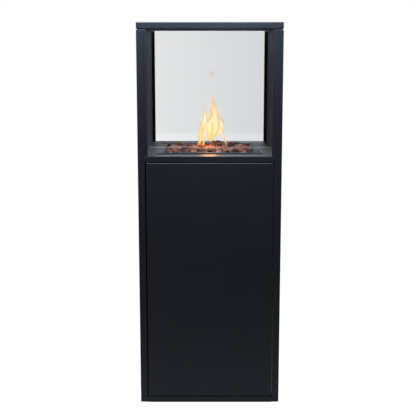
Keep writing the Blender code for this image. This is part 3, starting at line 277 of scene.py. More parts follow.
makeCamera(cameraSetup)
makeFloor(floorLook)
makeSky(skyLook)
for name, setup in lamps.items():
    makeSoftbox(name, setup)
makeGlow(emberGlow)
print("camera, floor and lamps placed")

# ---- shared shader groups


def newGroup(name, inputs, outputs):
    group = bpy.data.node_groups.new(name, "ShaderNodeTree")
    for label, kind, start in inputs:
        socket = group.interface.new_socket(label, in_out="INPUT", socket_type="NodeSocket" + kind)
        if start is not None:
            socket.default_value = start
    for label, kind in outputs:
        group.interface.new_socket(label, in_out="OUTPUT", socket_type="NodeSocket" + kind)
    return group, group.nodes.new("NodeGroupInput").outputs, group.nodes.new("NodeGroupOutput").inputs


def makeCoatGrain():
    # fine paint texture and slow blotches, both 0 to 1
    group, given, result = newGroup(
        "coatGrain",
        [("Vector", "Vector", None), ("Pitch", "Float", 900.0), ("Blotch Pitch", "Float", 7.0)],
        [("Height", "Float"), ("Mottle", "Float")])
    feed(group, result["Height"], noise(group, given["Vector"], given["Pitch"], 2.0, 0.55))
    slow = noise(group, given["Vector"], given["Blotch Pitch"], 4.0, 0.6)
    feed(group, result["Mottle"], rescale(group, slow, 0.3, 0.7, 0, 1))
    return group


def makeEdgeRub():
    # where a rounded normal leaves the flat one, broken up by noise: outer and inner corners
    group, given, result = newGroup(
        "edgeRub",
        [("Vector", "Vector", None), ("Radius", "Float", 0.0015), ("Pitch", "Float", 60.0)],
        [("Mask", "Float")])
    rounded = group.nodes.new("ShaderNodeBevel")
    rounded.samples = 4
    feed(group, rounded.inputs["Radius"], given["Radius"])
    flat = group.nodes.new("ShaderNodeNewGeometry").outputs["Normal"]
    agreement = group.nodes.new("ShaderNodeVectorMath")
    agreement.operation = "DOT_PRODUCT"
    feed(group, agreement.inputs[0], rounded.outputs[0])
    feed(group, agreement.inputs[1], flat)
    turned = rescale(group, agreement.outputs["Value"], 0.99, 0.80, 0, 1)
    broken = rescale(group, noise(group, given["Vector"], given["Pitch"], 3.0, 0.6), 0.35, 0.6, 0.25, 1)
    feed(group, result["Mask"], calc(group, "MULTIPLY", turned, broken))
    return group


def makeDustFall():
    # settles on what faces up, in soft patches
    group, given, result = newGroup(
        "dustFall",
        [("Vector", "Vector", None), ("Amount", "Float", 0.2), ("Pitch", "Float", 14.0)],
        [("Mask", "Float")])
    normal = splitPoint(group, group.nodes.new("ShaderNodeNewGeometry").outputs["Normal"])
    upward = rescale(group, normal[2], 0.5, 0.95, 0, 1)
    patches = rescale(group, noise(group, given["Vector"], given["Pitch"], 5.0, 0.65), 0.35, 0.7, 0.2, 1)
    lying = calc(group, "MULTIPLY", upward, patches)
    feed(group, result["Mask"], calc(group, "MULTIPLY", lying, given["Amount"]))
    return group


def makePores():
    # round pits of two sizes: 1 at a pit's floor, and the height they leave
    group, given, result = newGroup(
        "pores",
        [("Vector", "Vector", None), ("Pitch", "Float", 220.0)],
        [("Pit", "Float"), ("Height", "Float")])
    pits = []
    for share in (1.0, 2.6):
        cells = group.nodes.new("ShaderNodeTexVoronoi")
        cells.feature = "F1"
        feed(group, cells.inputs["Vector"], given["Vector"])
        feed(group, cells.inputs["Scale"], calc(group, "MULTIPLY", given["Pitch"], share))
        pits.append(rescale(group, cells.outputs["Distance"], 0.16, 0.40, 1, 0))
    both = calc(group, "MAXIMUM", pits[0], calc(group, "MULTIPLY", pits[1], 0.7))
    feed(group, result["Pit"], both)
    feed(group, result["Height"], calc(group, "SUBTRACT", 1.0, both))
    return group


def makeBrushLines():
    # long scratches: noise on stretched coordinates
    group, given, result = newGroup(
        "brushLines",
        [("Vector", "Vector", None), ("Stretch", "Vector", (40.0, 1500.0, 1500.0))],
        [("Line", "Float")])
    drawn = group.nodes.new("ShaderNodeVectorMath")
    drawn.operation = "MULTIPLY"
    feed(group, drawn.inputs[0], given["Vector"])
    feed(group, drawn.inputs[1], given["Stretch"])
    feed(group, result["Line"], noise(group, drawn.outputs[0], 1.0, 3.0, 0.6))
    return group


groups = {
    "coatGrain": makeCoatGrain(),
    "edgeRub": makeEdgeRub(),
    "dustFall": makeDustFall(),
    "pores": makePores(),
    "brushLines": makeBrushLines(),
}


def useGroup(tree, name, vector, **values):
    node = tree.nodes.new("ShaderNodeGroup")
    node.node_tree = groups[name]
    feed(tree, node.inputs["Vector"], vector)
    for label, value in values.items():
        feed(tree, node.inputs[label.replace("_", " ")], value)
    return node.outputs


def startMaterial(name, roughness, metallic=0.0):
    # a new material, its node tree and its Principled shader
    material = bpy.data.materials.new(name)
    material.use_nodes = True
    shader = material.node_tree.nodes["Principled BSDF"]
    shader.inputs["Roughness"].default_value = roughness
    shader.inputs["Metallic"].default_value = metallic
    return material, material.node_tree, shader


def addBump(tree, shader, height, depth):
    bump = tree.nodes.new("ShaderNodeBump")
    bump.inputs["Strength"].default_value = 1.0
    bump.inputs["Distance"].default_value = depth
    feed(tree, bump.inputs["Height"], height)
    tree.links.new(bump.outputs[0], shader.inputs["Normal"])


def blotchedColour(tree, mottle, share, first, second):
    return mixColour(tree, calc(tree, "MULTIPLY", mottle, share), first, second)


print("shader groups made")

# ---- finishes

dustColour = (0.30, 0.29, 0.27)


def paintedSteel(name, look):
    # baked paint: grain in the gloss, thin on the folds, a little dust on top
    material, tree, shader = startMaterial(name, look["roughness"])
    place = objectPoint(tree)
    grain = useGroup(tree, "coatGrain", place, Pitch=look["pitch"])
    rub = useGroup(tree, "edgeRub", place, Radius=0.0012)["Mask"]
    dust = useGroup(tree, "dustFall", place, Amount=look["dust"])["Mask"]
    light = [min(1, part * 1.35 + 0.002) for part in look["paint"]]
    body = blotchedColour(tree, grain["Mottle"], 0.3, look["paint"], light)
    worn = blotchedColour(tree, rub, look["rub"], body, look["under"])
    feed(tree, shader.inputs["Base Color"], mixColour(tree, dust, worn, dustColour))
    low, high = look["roughness"] - 0.01, look["roughness"] + 0.03
    feed(tree, shader.inputs["Roughness"], rescale(tree, grain["Mottle"], 0, 1, low, high))
    addBump(tree, shader, grain["Height"], look["depth"])
    return material


def plainMetal(name, look):
    # bare metal: drawn lines and dull patches
    material, tree, shader = startMaterial(name, look["roughness"], 1.0)
    place = objectPoint(tree)
    line = useGroup(tree, "brushLines", place, Stretch=look["stretch"])["Line"]
    grain = useGroup(tree, "coatGrain", place, Pitch=400.0, Blotch_Pitch=look["blotch"])
    dark = [part * 0.72 for part in look["metal"]]
    body = blotchedColour(tree, grain["Mottle"], look["dull"], look["metal"], dark)
    feed(tree, shader.inputs["Base Color"], blotchedColour(tree, line, 0.25, body, dark))
    low, high = look["roughness"] - 0.08, look["roughness"] + 0.14
    feed(tree, shader.inputs["Roughness"], rescale(tree, line, 0.3, 0.7, low, high))
    addBump(tree, shader, line, look["depth"])
    return material


def zincPlate(name, look):
    # zinc sheet: large flat crystals that differ in tone and shine
    dull, bright = look["roughness"]
    material, tree, shader = startMaterial(name, dull, 1.0)
    place = objectPoint(tree)
    cells = tree.nodes.new("ShaderNodeTexVoronoi")
    feed(tree, cells.inputs["Vector"], place)
    cells.inputs["Scale"].default_value = look["crystals"]
    tone = tree.nodes.new("ShaderNodeRGBToBW")
    feed(tree, tone.inputs[0], cells.outputs["Color"])
    low, high = look["tones"]
    crystals = ramp(tree, tone.outputs[0], (low, look["dark"]), (high, look["light"]))
    feed(tree, shader.inputs["Base Color"], crystals)
    feed(tree, shader.inputs["Roughness"], rescale(tree, tone.outputs[0], low, high, dull, bright))
    grain = useGroup(tree, "coatGrain", place, Pitch=look["pitch"])
    addBump(tree, shader, grain["Height"], look["depth"])
    return material


def mouldedPlastic(name, look):
    # one tint with faint blotches, paler where hands have rubbed it
    material, tree, shader = startMaterial(name, look["roughness"])
    place = objectPoint(tree)
    grain = useGroup(tree, "coatGrain", place, Pitch=look["pitch"], Blotch_Pitch=30.0)
    rub = useGroup(tree, "edgeRub", place, Radius=0.0008)["Mask"]
    light = [min(1, part * 1.5 + 0.01) for part in look["tint"]]
    body = blotchedColour(tree, grain["Mottle"], 0.3, look["tint"], light)
    feed(tree, shader.inputs["Base Color"], blotchedColour(tree, rub, 0.4, body, light))
    addBump(tree, shader, grain["Height"], look["depth"])
    return material


def castIron(name, look):
    # rough grey iron, scorched in blotches, with painted shade that darkens its pits
    material, tree, shader = startMaterial(name, look["roughness"], 0.6)
    place = objectPoint(tree)
    pits = useGroup(tree, "pores", place, Pitch=look["pitch"])
    grain = useGroup(tree, "coatGrain", place, Blotch_Pitch=look["blotch"])
    body = mixColour(tree, grain["Mottle"], look["iron"], look["scorch"])
    # pits turn dark: painted shade in the recesses
    feed(tree, shader.inputs["Base Color"], blotchedColour(tree, pits["Pit"], 0.5, body, look["pit"]))
    addBump(tree, shader, pits["Height"], look["depth"])
    return material


def lavaRock(name, look):
    # red-brown clinker: colour by stone, open pores, and painted shade that makes the pits near-black
    material, tree, shader = startMaterial(name, look["roughness"])
    shader.inputs["Specular IOR Level"].default_value = look["shine"]
    place = objectPoint(tree)
    tone = tree.nodes.new("ShaderNodeAttribute")
    tone.attribute_name = "stoneTone"
    pits = useGroup(tree, "pores", place, Pitch=look["pitch"])
    grain = useGroup(tree, "coatGrain", place, Blotch_Pitch=look["blotch"])
    stone = ramp(tree, tone.outputs["Fac"], *look["stones"])
    body = blotchedColour(tree, grain["Mottle"], 0.3, stone, look["ash"])
    # pits turn near-black: painted shade in the pores
    feed(tree, shader.inputs["Base Color"], blotchedColour(tree, pits["Pit"], 0.85, body, look["pit"]))
    addBump(tree, shader, pits["Height"], look["depth"])
    return material


def paneGlass(name, leftTint, rightTintAndShade):
    # clear pane with a faint grey tint, darker to the right with painted shade, that lets the lamps through
    material, tree, shader = startMaterial(name, 0.0)
    side = splitPoint(tree, objectPoint(tree))[0]
    across = rescale(tree, side, -0.22, 0.22, 0, 1)  # half a pane's width each way
    # this mix darkens the pane towards its right: painted shade
    feed(tree, shader.inputs["Base Color"], mixColour(tree, across, leftTint, rightTintAndShade))
    shader.inputs["Transmission Weight"].default_value = 1.0
    shader.inputs["IOR"].default_value = 1.5
    clear = tree.nodes.new("ShaderNodeBsdfTransparent")
    clear.inputs["Color"].default_value = (0.88, 0.89, 0.89, 1)
    mix = tree.nodes.new("ShaderNodeMixShader")
    path = tree.nodes.new("ShaderNodeLightPath")
    feed(tree, mix.inputs[0], path.outputs["Is Shadow Ray"])
    tree.links.new(shader.outputs[0], mix.inputs[1])
    tree.links.new(clear.outputs[0], mix.inputs[2])
    tree.links.new(mix.outputs[0], tree.nodes["Material Output"].inputs["Surface"])
    return material


finishes = {
    "powder_coat": paintedSteel("powderCoat", {
        "paint": (0.0074, 0.0078, 0.0118), "under": (0.06, 0.068, 0.082), "roughness": 0.44,
        "pitch": 1100.0, "depth": 0.00003, "rub": 0.35, "dust": 0.012}),
    # the deck's paint is a lighter copy of the body's powder coat: painted light for the deck lit from above
    "deck_coat": paintedSteel("deckCoatPaintedLight", {
        "paint": (0.020, 0.021, 0.024), "under": (0.10, 0.10, 0.11), "roughness": 0.36,
        "pitch": 900.0, "depth": 0.00002, "rub": 0.35, "dust": 0.10}),
    "liner_steel": paintedSteel("linerCoat", {
        "paint": (0.0095, 0.0105, 0.013), "under": (0.05, 0.05, 0.055), "roughness": 0.38,
        "pitch": 700.0, "depth": 0.000002, "rub": 0.25, "dust": 0.05}),
    "bottle_paint": paintedSteel("bottlePaint", {
        "paint": (0.20, 0.225, 0.24), "under": (0.36, 0.37, 0.38), "roughness": 0.36,
        "pitch": 500.0, "depth": 0.00006, "rub": 0.7, "dust": 0.25}),
    "regulator_body": paintedSteel("regulatorCast", {
        "paint": (0.30, 0.31, 0.32), "under": (0.5, 0.5, 0.5), "roughness": 0.45,
        "pitch": 900.0, "depth": 0.00006, "rub": 0.5, "dust": 0.1}),
    "zinc_steel": zincPlate("zincPlate", {
        "crystals": 130, "tones": (0.2, 0.8), "dark": (0.46, 0.47, 0.49), "light": (0.53, 0.54, 0.56),
        "roughness": (0.38, 0.46), "pitch": 700.0, "depth": 0.00002}),
    "stainless": plainMetal("stainlessSteel", {
        "metal": (0.12, 0.115, 0.12), "roughness": 0.45, "stretch": (25.0, 900.0, 900.0),
        "blotch": 20.0, "dull": 0.3, "depth": 0.00001}),
    "brass_fitting": plainMetal("turnedBrass", {
        "metal": (0.72, 0.52, 0.22), "roughness": 0.3, "stretch": (300.0, 300.0, 3000.0),
        "blotch": 60.0, "dull": 0.5, "depth": 0.00001}),
    "pipe_aluminium": plainMetal("drawnAluminium", {
        "metal": (0.72, 0.72, 0.72), "roughness": 0.36, "stretch": (60.0, 60.0, 60.0),
        "blotch": 30.0, "dull": 0.3, "depth": 0.00001}),
    "burner_iron": castIron("castIron", {
        # the pit colour is painted shade in the recesses
        "iron": (0.045, 0.044, 0.043), "scorch": (0.09, 0.075, 0.062), "pit": (0.02, 0.02, 0.02),
        "roughness": 0.7, "pitch": 500.0, "blotch": 40.0, "depth": 0.0002}),
    # the front pane darkens to the right: painted shade
    "clear_glass": paneGlass("paneGlass", (0.91, 0.92, 0.93), (0.77, 0.80, 0.81)),
    "lava_stone": lavaRock("lavaRock", {
        "stones": ((0.0, (0.018, 0.010, 0.009)), (0.22, (0.040, 0.018, 0.014)), (0.32, (0.26, 0.070, 0.040)),
                   (0.6, (0.40, 0.125, 0.075)), (0.8, (0.52, 0.27, 0.155)), (1.0, (0.42, 0.22, 0.16))),
        # the pit colour is painted shade in the pores
        "ash": (0.58, 0.28, 0.18), "pit": (0.012, 0.008, 0.007), "roughness": 0.92, "shine": 0.25,
        "pitch": 230.0, "blotch": 70.0, "depth": 0.0012}),
    "white_ceramic": mouldedPlastic("glazedCeramic", {
        "tint": (0.80, 0.79, 0.74), "roughness": 0.18, "pitch": 300.0, "depth": 0.00002}),
    "black_plastic": mouldedPlastic("blackPlastic", {
        "tint": (0.030, 0.030, 0.032), "roughness": 0.42, "pitch": 1600.0, "depth": 0.00006}),
    "red_plastic": mouldedPlastic("redPlastic", {
        "tint": (0.55, 0.03, 0.02), "roughness": 0.25, "pitch": 500.0, "depth": 0.00001}),
    "foot_rubber": mouldedPlastic("footRubber", {
        "tint": (0.02, 0.02, 0.02), "roughness": 0.8, "pitch": 1200.0, "depth": 0.0001}),
    "hose_rubber": mouldedPlastic("hoseRubber", {
        "tint": (0.55, 0.17, 0.03), "roughness": 0.45, "pitch": 800.0, "depth": 0.00005}),
}
print("finishes made:", len(finishes))

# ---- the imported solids: finish, joined facets and small rounded edges

edgeCare = {
    "join": 0.00002,
    "flatWithin": 0.4,  # degrees
    "round": 0.0004,
    "steps": 2,
    "sharpFrom": 32.0,  # degrees
}


def makeSmoothing():
    # smooth faces everywhere, with edges sharper than the limit kept sharp
    group = bpy.data.node_groups.new("smoothFacets", "GeometryNodeTree")
    group.interface.new_socket("Geometry", in_out="INPUT", socket_type="NodeSocketGeometry")
    group.interface.new_socket("Geometry", in_out="OUTPUT", socket_type="NodeSocketGeometry")
    start, end = group.nodes.new("NodeGroupInput"), group.nodes.new("NodeGroupOutput")
    faces = group.nodes.new("GeometryNodeSetShadeSmooth")
    faces.domain = "FACE"
    edges = group.nodes.new("GeometryNodeSetShadeSmooth")
    edges.domain = "EDGE"
    edges.inputs["Shade Smooth"].default_value = False
    angle = group.nodes.new("GeometryNodeInputMeshEdgeAngle").outputs["Unsigned Angle"]
    over = group.nodes.new("FunctionNodeCompare")
    over.operation = "GREATER_THAN"
    over.inputs[1].default_value = math.radians(edgeCare["sharpFrom"])
    group.links.new(angle, over.inputs[0])
    group.links.new(over.outputs[0], edges.inputs["Selection"])
    group.links.new(start.outputs[0], faces.inputs[0])
    group.links.new(faces.outputs[0], edges.inputs[0])
    group.links.new(edges.outputs[0], end.inputs[0])
    return group


smoothFacets = makeSmoothing()


def careForEdges(piece):
    weld = piece.modifiers.new("join", "WELD")
    weld.merge_threshold = edgeCare["join"]
    flat = piece.modifiers.new("flatFaces", "DECIMATE")
    flat.decimate_type = "DISSOLVE"
    flat.angle_limit = math.radians(edgeCare["flatWithin"])
    smooth = piece.modifiers.new("smoothFacets", "NODES")
    smooth.node_group = smoothFacets
    bevel = piece.modifiers.new("edges", "BEVEL")
    bevel.limit_method = "ANGLE"
    bevel.angle_limit = math.radians(edgeCare["sharpFrom"])
    bevel.width = edgeCare["round"]
    bevel.segments = edgeCare["steps"]
    bevel.miter_outer = "MITER_ARC"
    facing = piece.modifiers.new("facing", "WEIGHTED_NORMAL")
    facing.keep_sharp = True


nearlyClear = (0.99, 0.99, 0.99)
clearerGlass = paneGlass("rearPaneGlass", nearlyClear, nearlyClear)
for name, node in nodes.items():
    slotName = node.data.materials[0].name
    node.data.materials[0] = clearerGlass if name == "rear_glass" else finishes[slotName]
    if name != "lava_bed":
        careForEdges(node)
print("packed solids finished")

# ---- lava stones


def gridFaces(rows, columns, start=0):
    # quads of a grid that closes on itself along its columns
    row, column = np.meshgrid(np.arange(rows - 1), np.arange(columns), indexing="ij")
    here = start + row * columns + column
    beside = start + row * columns + (column + 1) % columns
    return np.stack([here, beside, beside + columns, here + columns], -1).reshape(-1, 4)


def makePiece(name, points, quads, triangles, finish):
    # lists of blocks of points and faces, as one smooth mesh
    mesh = bpy.data.meshes.new(name)
    faces = np.concatenate(quads).tolist() + np.concatenate(triangles).tolist()
    mesh.from_pydata(np.concatenate(points).tolist(), [], faces)
    mesh.polygons.foreach_set("use_smooth", np.full(len(mesh.polygons), True))
    mesh.materials.append(finish)
    mesh.update()
    piece = bpy.data.objects.new(name, mesh)
    scene.collection.objects.link(piece)
    return piece


stoneBed = {
    "seed": 11,
    "spill": 0.006,  # past the tray's inner edge, on every side
    "big": {"across": 12, "deep": 9, "size": (0.0115, 0.0185), "sink": 1.05, "rise": 0.008},
    "small": {"across": 15, "deep": 11, "size": (0.006, 0.010), "sink": 2.4, "rise": 0.004},
    "facets": 12,
    "rows": 10,
    "columns": 16,
}


def stoneShapes(count, generator, look):
    # rounded solids cut by planes, every direction at once:
    # radius = (sum over planes of (facing / distance)^8)^(-1/8) * ripple,
    # ripple = 1 + 0.018 * sum of sin(wave . way + phase)
    rows, columns = look["rows"], look["columns"]
    polar = np.linspace(0, math.pi, rows + 2)[1:-1]
    around = np.linspace(0, 2 * math.pi, columns, endpoint=False)
    polar, around = np.meshgrid(polar, around, indexing="ij")
    level = np.sin(polar)
    ways = np.stack([level * np.cos(around), level * np.sin(around), np.cos(polar)], -1).reshape(-1, 3)
    ways = np.concatenate([ways, [[0, 0, 1], [0, 0, -1]]])
    planes = generator.normal(size=(count, look["facets"], 3))
    planes /= np.linalg.norm(planes, axis=-1, keepdims=True)
    cube = np.concatenate([np.eye(3), -np.eye(3)])
    planes = np.concatenate([planes, np.tile(cube, (count, 1, 1))], 1)
    reach = generator.uniform(0.72, 1.05, planes.shape[:2])
    facing = np.clip(np.einsum("vk,cpk->cvp", ways, planes), 0, None) / reach[:, None, :]
    radius = (facing ** 8).sum(-1) ** (-1 / 8)
    waves = generator.normal(size=(count, 6, 3)) * 6
    phase = generator.uniform(0, 2 * math.pi, (count, 6))
    ripple = np.sin(np.einsum("vk,cpk->cvp", ways, waves) + phase[:, None, :]).sum(-1)
    return ways[None] * (radius * (1 + 0.018 * ripple))[..., None]


def layStones(look):
    # a stone in each cell of two grids over the tray: big ones below, small ones strewn on top
    generator = np.random.default_rng(look["seed"])
    low, high = (np.array(corner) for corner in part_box("lava_bed"))
    spill = np.array([look["spill"], look["spill"], 0])
    low, high = low - spill, high + spill
    points, quads, triangles, tones = [], [], [], []
    rows, columns = look["rows"], look["columns"]
    start = 0
    for layer in (look["big"], look["small"]):
        count = layer["across"] * layer["deep"]
        shapes = stoneShapes(count, generator, look)
        size = generator.uniform(*layer["size"], count)
        squat = np.stack([generator.uniform(0.9, 1.15, count), generator.uniform(0.9, 1.15, count),
                          generator.uniform(0.78, 0.95, count)], -1)
        column, row = np.meshgrid(np.arange(layer["across"]), np.arange(layer["deep"]), indexing="ij")
        share = np.stack([(column.ravel() + 0.5) / layer["across"], (row.ravel() + 0.5) / layer["deep"]], -1)
        share += generator.uniform(-0.28, 0.28, share.shape) / (layer["across"], layer["deep"])
        room = size * 1.05
        flat = low[:2] + room[:, None] + share * (high[:2] - low[:2] - 2 * room[:, None])
        height = low[2] + size * squat[:, 2] * layer["sink"] + generator.uniform(0, layer["rise"], count)
        centre = np.concatenate([flat, height[:, None]], 1)
        placed = shapes * (size[:, None] * squat)[:, None, :] + centre[:, None, :]
        placed[..., 2] = np.maximum(placed[..., 2], low[2])
        each = rows * columns + 2
        for k in range(count):
            points.append(placed[k])
            quads.append(gridFaces(rows, columns, start)[:, ::-1])
            ring = np.arange(columns)
            after = (ring + 1) % columns
            last = start + (rows - 1) * columns
            triangles.append(np.stack([np.full(columns, start + each - 2), start + ring, start + after], -1))
            triangles.append(np.stack([np.full(columns, start + each - 1), last + after, last + ring], -1))
            tones.append(np.full(each, generator.uniform()))
            start += each
    piece = makePiece("lava_stones", points, quads, triangles, finishes["lava_stone"])
    tone = piece.data.attributes.new("stoneTone", "FLOAT", "POINT")
    tone.data.foreach_set("value", np.concatenate(tones).astype(np.float32))
    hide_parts("lava_bed")
    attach(piece, "cabinet")


layStones(stoneBed)
print("lava stones laid")

# ---- flames

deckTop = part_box("deck_plate")[1][2]
flameTop = deckTop + 0.21


def flameMaterial(name, look):
    # glowing gas: colour by height, clearer towards the tips and in rising streaks
    material, tree, shader = startMaterial(name, 1.0)
    shader.inputs["Base Color"].default_value = (0, 0, 0, 1)
    shader.inputs["Specular IOR Level"].default_value = 0.0
    shader.inputs["Emission Strength"].default_value = look["glow"]
    rise = rescale(tree, splitPoint(tree, objectPoint(tree))[2], deckTop, flameTop, 0, 1)
    streaks = noise(tree, objectPoint(tree, scale=(60, 60, 16)), 1.0, 2.0, 0.5)
    feed(tree, shader.inputs["Emission Color"], ramp(tree, rise, *look["colours"]))
    clear = ramp(tree, rise, *[(place, (value,) * 3) for place, value in look["solid"]])
    broken = rescale(tree, streaks, 0.35, 0.65, 1 - look["streaks"], 1)
    feed(tree, shader.inputs["Alpha"], calc(tree, "MULTIPLY", clear, broken, clamp=True))
    return material


flameBody = {
    "rows": 44,
    "columns": 20,
    # foot x, y and height over the deck, middle x, tip x, tip height, half width, phase
    "tongues": (
        (0.010, -0.004, 0.034, 0.020, 0.004, 0.208, 0.0190, 0.0),
        (-0.038, 0.010, 0.012, -0.026, -0.015, 0.176, 0.0105, 1.7),
        (-0.046, -0.018, 0.008, -0.031, -0.022, 0.112, 0.0050, 4.4),
        (-0.024, -0.022, 0.008, -0.019, -0.006, 0.132, 0.0068, 0.6),
        (-0.006, -0.012, 0.030, 0.000, 0.010, 0.150, 0.0120, 5.2),
        (0.022, 0.012, 0.034, 0.043, 0.034, 0.142, 0.0105, 3.1),
        (0.066, -0.006, 0.012, 0.053, 0.043, 0.090, 0.0036, 2.2),
        (0.004, 0.024, 0.020, 0.010, 0.014, 0.096, 0.0130, 2.9),
    ),
    "flat": 0.6,
    "sway": 0.0035,
    "core": 0.58,  # the bright core's width over the whole flame's
    # the glowing puff above the flame is a painted reflection: it glows where the flame's reflection shows
    # on the front pane
    "reflectionSpot": {"side": 0.006, "height": 0.285, "radius": 0.011},
}


def tongueSurface(look, tongue, shrink):
    # the axis bends from foot over middle to tip with a sway of sin(height), and the radius about it is
    # width * v^0.8 * (1 - v)^1.2 over its peak, lobed by cos(3 turn) and cos(2 turn)
    footX, footY, foot, midX, tipX, tipHeight, width, phase = tongue
    rows, columns = look["rows"], look["columns"]
    rise = np.linspace(0, 1, rows)[:, None]
    turn = np.linspace(0, 2 * math.pi, columns, endpoint=False)[None, :]
    peak = 0.4 ** 0.8 * 0.6 ** 1.2
    radius = width * shrink * rise ** 0.8 * (1 - rise) ** 1.2 / peak
    lobes = 1 + 0.14 * np.cos(3 * turn + 6 * rise + phase) + 0.10 * np.cos(2 * turn - 11 * rise + phase)
    sway = look["sway"] * np.sin(9 * rise + phase) * rise ** 0.7 * (1 - 0.5 * rise)
    pull = 2 * midX - (footX + tipX) / 2
    axis = (1 - rise) ** 2 * footX + 2 * rise * (1 - rise) * pull + rise ** 2 * tipX
    x = axis + sway + radius * lobes * np.cos(turn)
    y = footY + 0.6 * sway + radius * look["flat"] * lobes * np.sin(turn)
    low = foot + 0.06 * (1 - shrink) * tipHeight
    high = tipHeight * (0.62 + 0.38 * shrink)
    z = deckTop + low + (high - low) * rise + 0 * turn
    return np.stack([x, y, z], -1)


def closedSurface(surface, start):
    # a surface's first and last rows drawn together to points: its points, quads and triangles
    rows, columns = surface.shape[:2]
    body = surface[1:-1].reshape(-1, 3)
    ends = np.stack([surface[0].mean(0), surface[-1].mean(0)])
    ring = np.arange(columns)
    after = (ring + 1) % columns
    last = start + (rows - 3) * columns
    foot, tip = start + len(body), start + len(body) + 1
    caps = np.concatenate([np.stack([np.full(columns, foot), start + after, start + ring], -1),
                           np.stack([np.full(columns, tip), last + ring, last + after], -1)])
    return np.concatenate([body, ends]), gridFaces(rows - 2, columns, start), caps


def makeClosed(name, surfaces, material, body):
    # several closed surfaces as one piece, riding on a body
    parts, start = [], 0
    for surface in surfaces:
        parts.append(closedSurface(surface, start))
        start += len(parts[-1][0])
    points, quads, triangles = zip(*parts)
    piece = makePiece(name, points, quads, triangles, material)
    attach(piece, body)
    return piece


def puffSurface(centre, radius, rows=14, columns=20):
    # an egg: radius times sin of the polar angle, drawn out by a third upwards
    polar = np.linspace(0, math.pi, rows)[:, None]
    turn = np.linspace(0, 2 * math.pi, columns, endpoint=False)[None, :]
    x = centre[0] + radius * np.sin(polar) * np.cos(turn)
    y = centre[1] + radius * np.sin(polar) * np.sin(turn)
    z = centre[2] - radius * (1.1 + 0.2 * np.cos(polar)) * np.cos(polar) + 0 * turn
    return np.stack([x, y, z], -1)


# each stop is a height from 0 at the deck to 1 at the tips, and its colour or how solid it looks
outerFlame = flameMaterial("flameEdge", {
    "glow": 1.25,
    "streaks": 0.6,
    "colours": ((0.0, (1.0, 0.34, 0.02)), (0.25, (1.0, 0.54, 0.11)), (0.5, (1.0, 0.60, 0.19)),
                (1.0, (1.0, 0.46, 0.17))),
    "solid": ((0.0, 0.60), (0.2, 0.36), (0.6, 0.46), (1.0, 0.40)),
})
innerFlame = flameMaterial("flameCore", {
    "glow": 1.55,
    "streaks": 0.4,
    "colours": ((0.0, (1.0, 0.58, 0.06)), (0.2, (1.0, 0.80, 0.34)), (0.45, (1.0, 0.90, 0.55)),
                (1.0, (1.0, 0.76, 0.34))),
    "solid": ((0.0, 0.85), (0.18, 0.55), (0.5, 0.88), (1.0, 0.55)),
})
# faint glow of that puff: a painted reflection of the flame in the front pane
flameReflectionGlow = flameMaterial("flameReflectionPuff", {
    "glow": 1.0,
    "streaks": 0.3,
    "colours": ((0.0, (1.0, 0.60, 0.45)), (1.0, (1.0, 0.62, 0.48))),
    "solid": ((0.0, 0.26), (1.0, 0.26)),
})
flameLayers = (("flame_outer", outerFlame, 1.0), ("flame_core", innerFlame, flameBody["core"]))
for name, material, shrink in flameLayers:
    tongues = [tongueSurface(flameBody, tongue, shrink) for tongue in flameBody["tongues"]]
    makeClosed(name, tongues, material, "cabinet")
# the puff above the flame: a glowing blob that paints the flame's reflection in the front pane
reflectionSpot = flameBody["reflectionSpot"]
reflectionSpotCentre = (reflectionSpot["side"], 0.0, deckTop + reflectionSpot["height"])
makeClosed("flame_reflection_puff", [puffSurface(reflectionSpotCentre, reflectionSpot["radius"])], flameReflectionGlow, "cabinet")
print("flames lit")

# ---- turned and swept pieces that take the place of coarse ones


def roundedProfile(corners, radius, count):
    # a polyline whose corners become parabolas (1-t)^2 A + 2t(1-t) P + t^2 B, read at even distances
    corners = np.array(corners, float)
    middle = corners[1:-1]
    back, ahead = corners[:-2] - middle, corners[2:] - middle
    backLength = np.linalg.norm(back, axis=1, keepdims=True)
    aheadLength = np.linalg.norm(ahead, axis=1, keepdims=True)
    reach = np.minimum(radius, 0.45 * np.minimum(backLength, aheadLength))
    start, end = middle + back / backLength * reach, middle + ahead / aheadLength * reach
    t = np.linspace(0, 1, 6)[None, :, None]
    bends = (1 - t) ** 2 * start[:, None] + 2 * t * (1 - t) * middle[:, None] + t ** 2 * end[:, None]
    line = np.concatenate([corners[:1], bends.reshape(-1, 2), corners[-1:]])
    travelled = np.concatenate([[0], np.cumsum(np.linalg.norm(np.diff(line, axis=0), axis=1))])
    places = np.sort(np.concatenate([np.linspace(0, travelled[-1], count), travelled[1:-1]]))
    return np.stack([np.interp(places, travelled, line[:, 0]), np.interp(places, travelled, line[:, 1])], -1)


axes = {
    "up": ((1, 0, 0), (0, 1, 0), (0, 0, 1)),
    "front": ((1, 0, 0), (0, 0, 1), (0, -1, 0)),
    "back": ((0, 0, 1), (1, 0, 0), (0, 1, 0)),
}


def turnedSurface(profile, centre, axis, columns, wave=None, sink=None):
    # centre + radius * wave * (cos turn, sin turn) across the axis + (height - sink) along it
    across, aside, along = (np.array(way, float) for way in axes[axis])
    radius, height = profile[:, :1], profile[:, 1:]
    turn = np.linspace(0, 2 * math.pi, columns, endpoint=False)[None, :]
    if sink:
        height = height - sink(radius, height, turn)
    if wave:
        radius = radius * wave(radius, height, turn)
    x, y, z = radius * np.cos(turn), radius * np.sin(turn), height + 0 * turn
    return np.array(centre, float) + x[..., None] * across + y[..., None] * aside + z[..., None] * along


